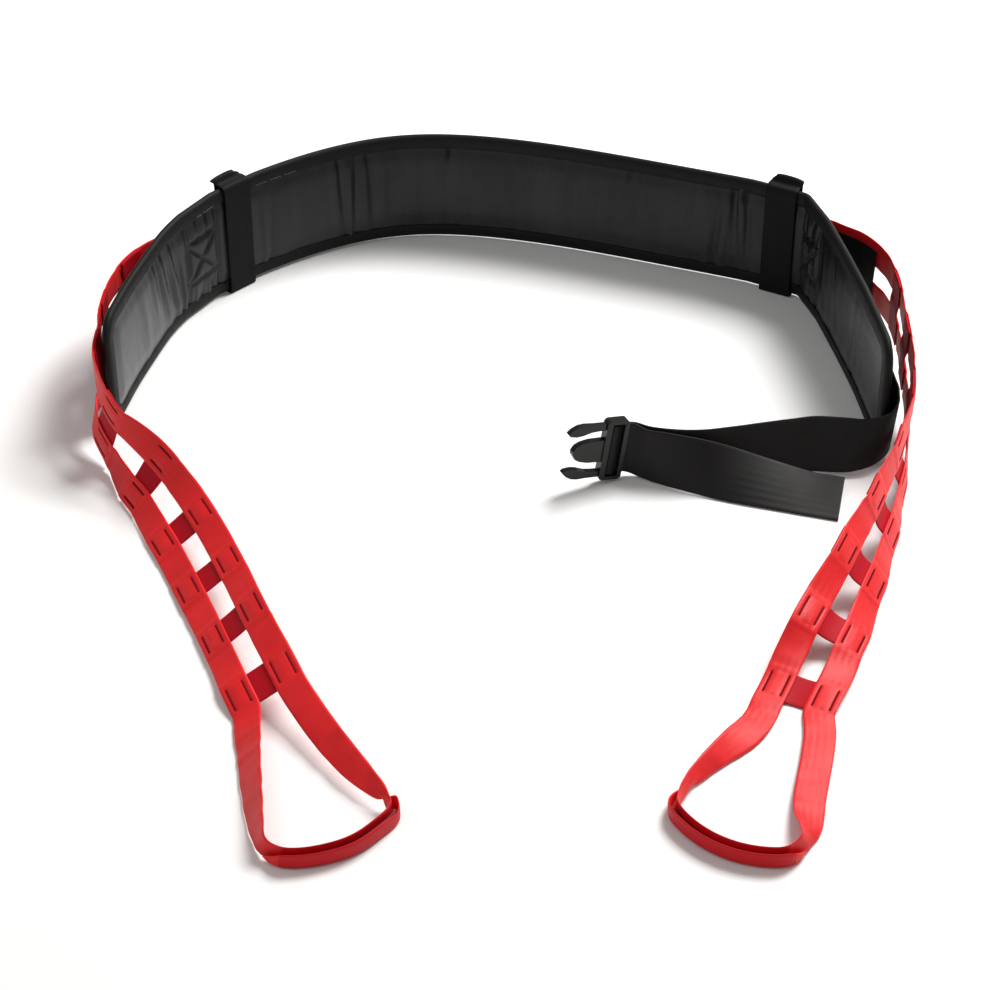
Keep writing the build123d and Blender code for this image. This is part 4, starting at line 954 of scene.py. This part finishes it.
# ---------------------------------------------------------------- keepers
def keeper(tag, s_mid, lean, top):
    """Loose loop of webbing round pad and waist webbing, standing up above the pad."""
    # centre line in (depth, height), from the bottom up the wearer's side
    path = [(5.5, 0.75), (0.5, 0.75), (-0.75, 1.2), (-1.2, 3.2), (-1.2, 30.0), (-1.25, 60.0), (-1.2, 90.0), (-1.15, 107.0), (-0.7, 113.5),
            (1.5, 117.6), (4.8, 118.6), (7.6, 119.4), (9.4, 121.4), (10.9, 124.7), (12.7, 125.9), (14.3, 124.2), (14.3, 120.0), (13.8, 114.0), (13.6, 100.0), (13.6, 60.0), (13.6, 20.0), (13.6, 3.4), (13.1, 1.3), (11.4, 0.75), (5.5, 0.75)]
    path = np.array(path)
    t = chord(path)
    u = np.linspace(0, t[-1], 240)
    p = herm(t, path, u)
    tan = vn(np.gradient(p, axis=0))
    nrm = np.stack([tan[:, 1], -tan[:, 0]], -1)
    sec, acr = strap_section(16.0, 1.35, 11)
    rings = []
    for i in range(len(u)):
        d = p[i, 0] + nrm[i, 0] * (sec[:, 1] - 0.675)
        z = p[i, 1] + nrm[i, 1] * (sec[:, 1] - 0.675)
        rise = sstep(p[i, 1], 117.5, 126.0)
        side = lean * rise * (1.0 if p[i, 0] > 3 else 0.55)
        tilt = top * rise * (sec[:, 0] / 16.0)
        rings.append(pad(s_mid + sec[:, 0] * (1.0 - 0.14 * rise) + side, np.clip(z + tilt * 1.0 - 1.6 * rise * (np.abs(sec[:, 0]) / 16.0) ** 3, 0.05, 126.9), d))
    rings = np.array(rings)
    rings[-1] = rings[0]
    o = skin(tag + "_keeper_webbing", rings, KEEP, acr, u, caps=False)
    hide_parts(tag + "_keeper_loop")
    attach(o, tag + "_keeper")
    return o


keeper("left", (S6 + S7) / 2, -7.0, 0.6)
keeper("right", (S23 + S24) / 2 + 5.0, 3.0, -0.4)

# ---------------------------------------------------------------- ladders and hand loops
G = 8.5
U0 = G + 12.5


class Ladder:
    def __init__(self, rows, sign, hinge_xy, tab):
        P = [r[1:4] for r in rows]
        Wd = [r[4:7] for r in rows]
        zc = P[-1][2]
        hinge = np.array([hinge_xy[0], hinge_xy[1], zc])
        last = np.array(P[-1])
        run = hinge - last
        dist = np.linalg.norm(run)
        t = run / dist
        self.tab = min(tab, dist - 10.0)
        q = hinge - t * self.tab
        P = np.array(P + [list(q), list(hinge)])
        Wd = np.array(Wd + [[0, 0, 1], [0, 0, 1]], float)
        self.key = chord(P)
        self.P, self.W = P, vn(Wd)
        self.sign = sign
        self.L = self.key[-1]
        self.ds = np.linspace(0, self.L, int(self.L / 2.0) + 1)
        c = herm(self.key, P, self.ds)
        w = herm(self.key, self.W, self.ds)
        c = soften(c, 14)
        T = vn(np.gradient(c, axis=0))
        w = vn(w - (w * T).sum(-1, keepdims=True) * T)
        w = vn(soften(w, 60))
        w = vn(w - (w * T).sum(-1, keepdims=True) * T)
        self.c, self.w, self.T = c, w, T
        self.n = vn(np.cross(w, T)) * sign
        self.zones = [(self.key[4 * k], self.key[4 * k + 1]) for k in range(9)]

    def at(self, arr, s):
        return np.stack([np.interp(s, self.ds, arr[:, j]) for j in range(3)], -1)

    def point(self, s, u, n):
        s, u, n = np.broadcast_arrays(np.asarray(s, float), np.asarray(u, float), np.asarray(n, float))
        return self.at(self.c, s) + self.at(self.w, s) * u[..., None] + self.at(self.n, s) * n[..., None]


HL = pad(S6, 0.0, 15.8)
HR = pad(S24, 0.0, 15.8)
LADL = Ladder(LAD_L, 1.0, HINGE_L, 60.0)
LADR = Ladder(LAD_R, -1.0, HINGE_R, 76.0)


def over_rungs(lad, s):
    """1 over a cross strap, 0 in the middle between two."""
    k = np.zeros_like(np.asarray(s, float))
    for a, b in lad.zones:
        k = np.maximum(k, sstep(s, a - 7, a + 1) * sstep(-s, -b - 7, -b + 1))
    return k


def build_side(tag, lad, leg_out, leg_in, grip_pts, look):
    body_l, body_h = tag + "_ladder", tag + "_hand_loop"
    front = 0.0
    # keys of the whole strap: up one rail, round the loop and back down the other rail
    sr = np.arange(lad.L, 6.0, -6.0)
    c_or = lad.point(sr, -U0, 0.0)
    w_or = lad.at(lad.w, sr)
    c_ir = lad.point(sr[::-1], U0, 0.0)
    w_ir = lad.at(lad.w, sr[::-1])
    lo = np.array(leg_out, float)
    li = np.array(leg_in, float)[::-1]
    gp = np.array(grip_pts, float)
    wl, wi = vn(lo[:, 3:6]), vn(li[:, 3:6])
    gw = np.tile([0, 0, 1.0], (len(gp), 1))
    a0 = lad.point(np.array([0.0]), -U0, 0.0)
    a1 = lad.point(np.array([0.0]), U0, 0.0)
    w0 = lad.at(lad.w, np.array([0.0]))
    C = np.vstack([c_or, a0, lo[:, :3], gp, li[:, :3], a1, c_ir])
    W = np.vstack([w_or, w0, wl, gw, wi, w0, w_ir])
    K = np.r_[np.ones(len(c_or) + 1), lo[:, 6], np.full(len(gp), 0.62), li[:, 6], np.ones(len(c_ir) + 1)]
    n_or, n_lo, n_g, n_li = len(c_or) + 1, len(lo), len(gp), len(li)
    mark_out = n_or - 1
    g0, g1 = n_or + n_lo, n_or + n_lo + n_g - 1
    mark_in = g1 + n_li + 1
    t = chord(C)
    u = np.arange(0, t[-1], 1.6)
    u = np.r_[u, t[-1]]
    c = herm(t, C, u)
    w = herm(t, W, u)
    k = herm(t, K[:, None], u)[:, 0]
    # smooth the loop part a little more than the ladder
    c2 = soften(c, 25)
    lf = sstep(u, t[mark_out] - 4, t[mark_out] + 12) * sstep(-u, -t[mark_in] - 4, -t[mark_in] + 12)
    c = c * (1 - lf[:, None]) + c2 * lf[:, None]
    T = vn(soften(np.gradient(c, axis=0), 3))
    w = vn(soften(vn(w - (w * T).sum(-1, keepdims=True) * T), 6))
    w = vn(w - (w * T).sum(-1, keepdims=True) * T)
    s_sign = -lad.sign
    n = vn(np.cross(w, T)) * s_sign
    # along the grip the tall wall is on the hand's side, and its short wall folds round outwards
    gmid = c[(u > t[g0]) & (u < t[g1])]
    ctr = np.vstack([lo[:, :3], li[:, :3]]).mean(0)
    mid_i = np.argmin(np.abs(u - (t[g0] + t[g1]) / 2))
    outs = 1.0 if np.dot(n[mid_i], c[mid_i] - ctr) > 0 else -1.0
    # fold amount, and the strap's own width grows into the wider sleeve webbing
    q = sstep(u, t[g0] - look["fold"], t[g0] - 2) * sstep(-u, -t[g1] - look["fold_in"], -t[g1] - 2)
    q = sstep(q)
    A = 12.5 + 4.2 * sstep(u, t[g0] - 14, t[g0] + 6) * sstep(-u, -t[g1] - 14, -t[g1] + 6)
    # offset of the strap's middle from the centre line, along n
    mo = np.where(u < (t[g0] + t[g1]) / 2, 0.9, -0.9)
    m0 = mo * (1 - q) + q * (-3.3 * outs)
    th = 1.8
    nu = 25
    a = np.linspace(-1, 1, nu)
    rr = 3.3
    # flat and folded middle lines
    H = 25.0 * k
    fl_u = a[None] * (H / 2)[:, None]
    ell = (1 - a)[None] * A[:, None]
    flat_len = (H - rr)[:, None]
    phi = np.clip((ell - flat_len) / rr, 0, math.pi)
    after = np.maximum(ell - flat_len - math.pi * rr, 0)
    fo_u = np.where(ell < flat_len, (H / 2)[:, None] - ell, (-H / 2)[:, None] + rr - rr * np.sin(phi) + after)
    fo_n = np.where(ell < flat_len, 0.0, rr * (1 - np.cos(phi))) * outs
    mu = fl_u * (1 - q)[:, None] + fo_u * q[:, None]
    mn = fo_n * q[:, None] + m0[:, None]
    # life in the strap: it dips between cross straps, is drawn in at the bar tacks, and ripples in the loop
    s_lad = np.where(u < t[mark_out], t[mark_out] - u, np.where(u > t[mark_in], u - t[mark_in], -1.0))
    s_lad = s_lad * (lad.L / t[mark_out])
    on = s_lad >= 0
    topn = np.where(u < (t[g0] + t[g1]) / 2, 1.0, -1.0)
    over = np.where(on, over_rungs(lad, s_lad), 0.0)
    dz = np.zeros_like(mu)
    uu = a[None] * 12.5
    # rail lies 1.5 mm over each cross strap's face, and comes down between them
    dz += np.where(on, -0.55 * (1 - over), 0.0)[:, None]
    dz += np.where(on, (1 - over) * 0.45 * rough_line(u, look["seed"], 50, 3), 0)[:, None]
    dz += (np.where(on, (1 - over), 0.0) * 0.5 * rough_line(u, look["seed"] + 1, 45, 2))[:, None] * (uu / 12.5) ** 2
    # the raised lip beside each cross strap
    for z0, z1 in (lad.zones if tag == "left" else lad.zones[:-1]):
        for e in (z0 - 1.6, z1 + 1.6):
            dz += np.where(on, 0.2 * np.exp(-((s_lad - e) / 1.5) ** 2), 0.0)[:, None]
        inz = sstep(s_lad, z0 + 2.0, z0 + 4.5) * sstep(-s_lad, -z1 + 2.0, -z1 + 4.5)
        inz = np.where(on, inz, 0.0)[:, None]
        for e in (-7.5, 7.5):
            dz -= 0.62 * np.exp(-((uu - e) / 1.5) ** 2) * inz
        dz += 0.42 * np.exp(-(uu / 4.2) ** 2) * inz
    # loop ripples
    lo_amt = np.where(on, 0.0, 1.0) * (1 - q)
    dz += (lo_amt * look["ripple"] * rough_line(u, look["seed"] + 2, 40, 3))[:, None]
    dz += (lo_amt * 0.9 * rough_line(u, look["seed"] + 3, 36, 2))[:, None] * (uu / 12.5) ** 2
    dz += (lo_amt * look["cup"])[:, None] * (1 - (uu / 12.5) ** 2)
    mn = mn + dz * topn[:, None]
    # curve normals of the section
    du, dn = np.gradient(mu, axis=1), np.gradient(mn, axis=1)
    l = np.maximum(np.hypot(du, dn), 1e-9)
    nu_, nn_ = -dn / l, du / l
    half = th / 2
    edge = np.array([1.0] * nu)
    edge[0] = edge[-1] = 0.45
    edge[1] = edge[-2] = 0.93
    topU, topN = mu + nu_ * half * edge, mn + nn_ * half * edge
    botU, botN = mu - nu_ * half * edge, mn - nn_ * half * edge
    tipU0, tipN0 = (mu - du / l * 0.35)[:, :1], (mn - dn / l * 0.35)[:, :1]
    tipU1, tipN1 = (mu + du / l * 0.35)[:, -1:], (mn + dn / l * 0.35)[:, -1:]
    RU = np.concatenate([topU, tipU1, botU[:, ::-1], tipU0], axis=1)
    RN = np.concatenate([topN, tipN1, botN[:, ::-1], tipN0], axis=1)
    rings = c[:, None] + w[:, None] * RU[..., None] + n[:, None] * RN[..., None]
    rings[..., 2] = np.maximum(rings[..., 2], 0.12)
    aw = np.concatenate([a * 12.5, [13.4], 13.4 + (a + 1) * 12.5 + 0.9, [40.5], [41.4]])
    i0 = int(np.argmin(np.abs(u - t[g0])))
    i1 = int(np.argmin(np.abs(u - t[g1])))
    outer = skin(tag + "_outer_strap", rings[:i0 + 1], RED, aw, u[:i0 + 1])
    grip = skin(tag + "_grip_webbing", rings[i0:i1 + 1], GRIPM, aw, u[i0:i1 + 1])
    inner = skin(tag + "_inner_strap", rings[i1:], RED, aw, u[i1:])
    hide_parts(tag + "_ladder_outer_rail", tag + "_loop_outer_leg")
    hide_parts(tag + "_ladder_inner_rail", tag + "_loop_inner_leg")
    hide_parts(tag + "_grip_sleeve")
    hinge = lad.point(np.array([0.0]), 0.0, 0.9)[0]
    d = -lad.at(lad.T, np.array([0.0]))[0]
    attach(grip, body_h)
    for o in (outer, inner):
        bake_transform(o)
    # soft core that shows a little in the grip's fold
    gi = np.arange(i0 + 2, i1 - 1)
    off = c[gi] + n[gi] * 0.0
    hwid, lowz, highz = rr - 1.15, -H[gi] / 2 + 1.3, H[gi] / 2 - 5.6
    ang = np.linspace(0, 2 * np.pi, 16, endpoint=False)
    midz, halfz = (lowz + highz) / 2, (highz - lowz) / 2
    cr = off[:, None] + w[gi][:, None] * (midz[:, None] + halfz[:, None] * np.sign(np.sin(ang)) * np.abs(np.sin(ang)) ** 0.7)[..., None] \
        + n[gi][:, None] * (hwid * np.sign(np.cos(ang)) * np.abs(np.cos(ang)) ** 0.7)[None, :, None]
    core = skin(tag + "_grip_core_soft", cr, COREM, np.linspace(0, 30, 17), u[gi])
    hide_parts(tag + "_grip_core")
    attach(core, body_h)
    return dict(c=c, w=w, n=n, u=u, t=t, g0=g0, g1=g1, s_lad=s_lad, rings=rings)


SIDE = {}
SIDE["left"] = build_side("left", LADL, LEG_LO, LEG_LI, GRIP_L, dict(seed=3, ripple=0.7, cup=0.3, fold=26.0, fold_in=22.0))
SIDE["right"] = build_side("right", LADR, LEG_RO, LEG_RI, GRIP_R[::-1], dict(seed=17, ripple=0.7, cup=0.3, fold=26.0, fold_in=60.0))


def rungs_and_tacks(tag, lad, sag):
    lines = []
    for k, (z0, z1) in enumerate(lad.zones if tag == "left" else lad.zones[:-1]):
        hw = 33.1
        us = np.r_[np.linspace(-hw, -9.6, 8), np.linspace(-8.2, 8.2, 11), np.linspace(9.6, hw, 8)]
        sec, acr = strap_section((z1 - z0) / 2, 1.4, 13)
        s = (z0 + z1) / 2 + sec[:, 0]
        dip = -sag[k] * np.clip(1 - (us / 9.0) ** 2, 0, 1)
        rip = 0.25 * rough_line(np.array([k * 40.0]), 7 + k)[0]
        n = (sec[None, :, 1] - 1.45) + dip[:, None] + (rip * np.clip(1 - (us / 9) ** 2, 0, 1))[:, None] * (sec[None, :, 0] / 15.0)
        P = lad.point(np.broadcast_to(s[None], n.shape), np.broadcast_to(us[:, None], n.shape), n)
        P[..., 2] = np.maximum(P[..., 2], 0.1)
        o = skin("%s_cross_strap_%d" % (tag, k + 1), P, RUNG, acr, us)
        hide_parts("%s_rung_%d" % (tag, k + 1))
        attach(o, tag + "_ladder")
        for e in (-28.5, -13.5, 13.5, 28.5):
            a0, a1 = (z0 + z1) / 2 - 12.0, (z0 + z1) / 2 + 12.0
            m = 44
            ss = np.linspace(a0, a1, m)
            zz = np.where(np.arange(m) % 2 == 0, -0.85, 0.85)
            L = lad.point(ss, e + zz, 1.8 - 0.42)
            lines.append(L)
            lines.append(lad.point(np.linspace(a0, a1, 8), np.full(8, e), 1.8 - 0.55))
    o = tubes(tag + "_bar_tacks", lines, 0.45, RTHREAD, 5)
    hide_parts(tag + "_ladder_bartacks")
    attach(o, tag + "_ladder")


rungs_and_tacks("left", LADL, [0.1, 0.2, 0.2, 0.2, 0.2, 0.3, 0.3, 0.2, 0.1])
rungs_and_tacks("right", LADR, [0.7, 1.6, 2.0, 2.2, 2.2, 2.0, 1.6, 1.2, 0.5])

# black tabs under the roots of the ladders, and the patches they are sewn into
for tag, lad in (("left", LADL), ("right", LADR)):
    s = np.linspace(lad.L - lad.tab if tag == "left" else lad.zones[-1][0], lad.L, 40)
    o = strap(tag + "_root_tab", lad.at(lad.c, s), lad.at(lad.w, s), lad.at(lad.n, s), 25.0, 1.4, BLACK, n0=-1.45, nu=17)
    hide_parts(tag + "_ladder_tab")
    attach(o, tag + "_ladder")


def pad_patch(name, s0, s1, z0, z1, d0, d1, mat):
    s = np.linspace(s0, s1, 24)
    z = np.linspace(z0, z1, 24)
    return closed_sheet(name, s, z, lambda a, b: np.full_like(a, d0), lambda a, b: np.full_like(a, d1) - 0.25 * (1 - sstep(np.minimum(np.minimum(a - s0, s1 - a), np.minimum(b - z0, z1 - b)), 0, 2.0)), mat)


for tag, s0, s1, (mid, h) in (("left", S5 + 1.5, S6 - 1.0, XL), ("right", S24 + 1.0, S25 - 1.5, XR)):
    o = pad_patch(tag + "_sewn_patch", s0, s1, 34.0, 84.0, 12.45, 13.9, BLACK)
    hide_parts(tag + "_anchor_patch")
    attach(o, "pad")
    L = []
    c = [(mid - h, ZC - h), (mid + h, ZC - h), (mid + h, ZC + h), (mid - h, ZC + h)]
    for (p, q) in ((0, 1), (1, 2), (2, 3), (3, 0), (0, 2), (1, 3)):
        (a0, b0), (a1, b1) = c[p], c[q]
        n = int(math.hypot(a1 - a0, b1 - b0) / 3.2)
        for i in range(n):
            tt = np.array([i, i + 0.38, i + 0.76]) / n
            L.append(pad(a0 + (a1 - a0) * tt, b0 + (b1 - b0) * tt, np.array([13.85, 14.12, 13.85])))
    o = tubes(tag + "_patch_stitching", L, 0.26, BTHREAD, 4)
    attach(o, "pad")

# ---------------------------------------------------------------- waist webbing, strap and tail
def rows_to_keys(rows):
    r = np.array(rows, float)
    c = (r[:, :3] + r[:, 3:]) / 2
    w = vn(r[:, 3:] - r[:, :3])
    return c, w


sc, sw = rows_to_keys(STRAP)
tc_, tw = rows_to_keys(TAIL)
sb = np.arange(BELT_START, PAD_L - 76.0, 6.0)
be, bew = rows_to_keys(BELT_END)
bc = pad(sb, 59.0, 11.6)
bw = np.tile([0, 0, 1.0], (len(sb), 1))


def webbing_run(name, C, W, hw, th, mat, step, seed, wav, along0=0.0, lo=None, hi=None, flip=1.0):
    t = chord(C)
    a, b = (0.0 if lo is None else lo), (t[-1] if hi is None else hi)
    u = np.linspace(a, b, int((b - a) / step) + 1)
    full = np.linspace(0, t[-1], int(t[-1] / step) * 1 + 1)
    c = soften(herm(t, C, full), 2)
    w = vn(soften(herm(t, W, full), 3))
    T = vn(np.gradient(c, axis=0))
    n = vn(np.cross(w, T)) * flip
    ii = (full >= a - 1e-6) & (full <= b + 1e-6)
    c, w, n, uu = c[ii], w[ii], n[ii], full[ii]

    def off(s, x):
        return wav * rough_line(s, seed, 70, 3) * sstep(s, 0, 40) * (0.35 + 0.65 * (x / hw) ** 2)
    return strap(name, c, w, n, hw, th, mat, n0=-th / 2, off=off if wav else None, nu=21, along0=0.0), c, w, n, uu


i_split = 16                      # far side of the bar: the front strap runs unbroken to it, the rest turns back as the tail
C1 = np.vstack([bc, be, sc[:i_split + 1]])
W1 = np.vstack([bw, bew, sw[:i_split + 1]])
waist, _c1, _w1, _n1, _u1 = webbing_run("waist_webbing", C1, W1, 25.0, 1.6, BLACK, 1.0, 41, 0.0)
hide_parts("waist_belt_back", "waist_belt_end", "waist_strap_front")
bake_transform(waist)

C2 = np.vstack([sc[i_split:-1], tc_])
W2 = np.vstack([sw[i_split:-1], tw])
t2 = chord(C2)
tail, _c2, _w2, _n2, _u2 = webbing_run("strap_round_bar_and_tail", C2, W2, 25.0, 1.6, BLACK, 1.0, 43, 0.0)
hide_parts("waist_strap_front", "waist_strap_tail")
td = vn(tc_[1] - tc_[0])
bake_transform(tail)
TAIL_DIR = td

# ---------------------------------------------------------------- buckle
for nm in ("male_buckle_frame", "male_guide_tongue", "male_upper_prong", "male_lower_prong", "female_buckle_housing", "female_webbing_bar"):
    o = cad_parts[nm]
    o.data.materials.clear()
    o.data.materials.append(PLAST)
    bv = o.modifiers.new("soft_edges", "BEVEL")
    bv.width = 0.0007
    bv.segments = 3
    bv.limit_method = "ANGLE"
    bv.angle_limit = math.radians(38)

# short webbing loop of the female half
fl = np.array(FEM_LOOP, float)
fc = np.c_[fl, np.full(len(fl), 59.0)]
fw = np.tile([0, 0, 1.0], (len(fl), 1))
fem, *_ = webbing_run("female_webbing_loop", fc, fw, 25.0, 1.6, BLACK, 0.8, 47, 0.0)
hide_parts("female_anchor_webbing")
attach(fem, "pad")

# ---------------------------------------------------------------- floor, light
floor_me = bpy.data.meshes.new("floor")
floor_me.from_pydata([(-8, -6, 0), (8, -6, 0), (8, 10, 0), (-8, 10, 0)], [], [(0, 1, 2, 3)])
floor = bpy.data.objects.new("floor", floor_me)
bpy.context.scene.collection.objects.link(floor)
fm, fnt, fb = new_mat("floor_mat")
fb.inputs["Base Color"].default_value = (0.86, 0.86, 0.86, 1.0)
fb.inputs["Roughness"].default_value = 0.9
fb.inputs["Specular IOR Level"].default_value = 0.1
floor_me.materials.append(fm)
floor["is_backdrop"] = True

world = bpy.data.worlds.new("world")
bpy.context.scene.world = world
world.use_nodes = True
world.node_tree.nodes["Background"].inputs[0].default_value = (1.0, 0.985, 0.95, 1.0)
world.node_tree.nodes["Background"].inputs[1].default_value = WORLD


def area(name, loc, target, size, power, color=(1, 1, 1), size_y=None):
    l = bpy.data.lights.new(name, "AREA")
    l.shape = "RECTANGLE"
    l.size = size
    l.size_y = size_y or size
    l.energy = power
    l.color = color
    o = bpy.data.objects.new(name, l)
    o.location = loc
    d = Vector(target) - Vector(loc)
    o.rotation_euler = d.to_track_quat("-Z", "Y").to_euler()
    bpy.context.scene.collection.objects.link(o)
    return o


area("key", (1.5, 1.5, 2.6), (0.05, 0.0, 0.0), 1.5, KEY, (1.0, 0.99, 0.97))
area("fill", (-1.6, -1.2, 2.4), (0.0, 0.0, 0.0), 2.2, FILL, (0.96, 0.98, 1.0))

vs = bpy.context.scene.view_settings
vs.view_transform = "Standard"
vs.look = "None"
vs.exposure = 0.0
vs.gamma = 1.0

# ---------------------------------------------------------------- sizes
b1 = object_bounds()
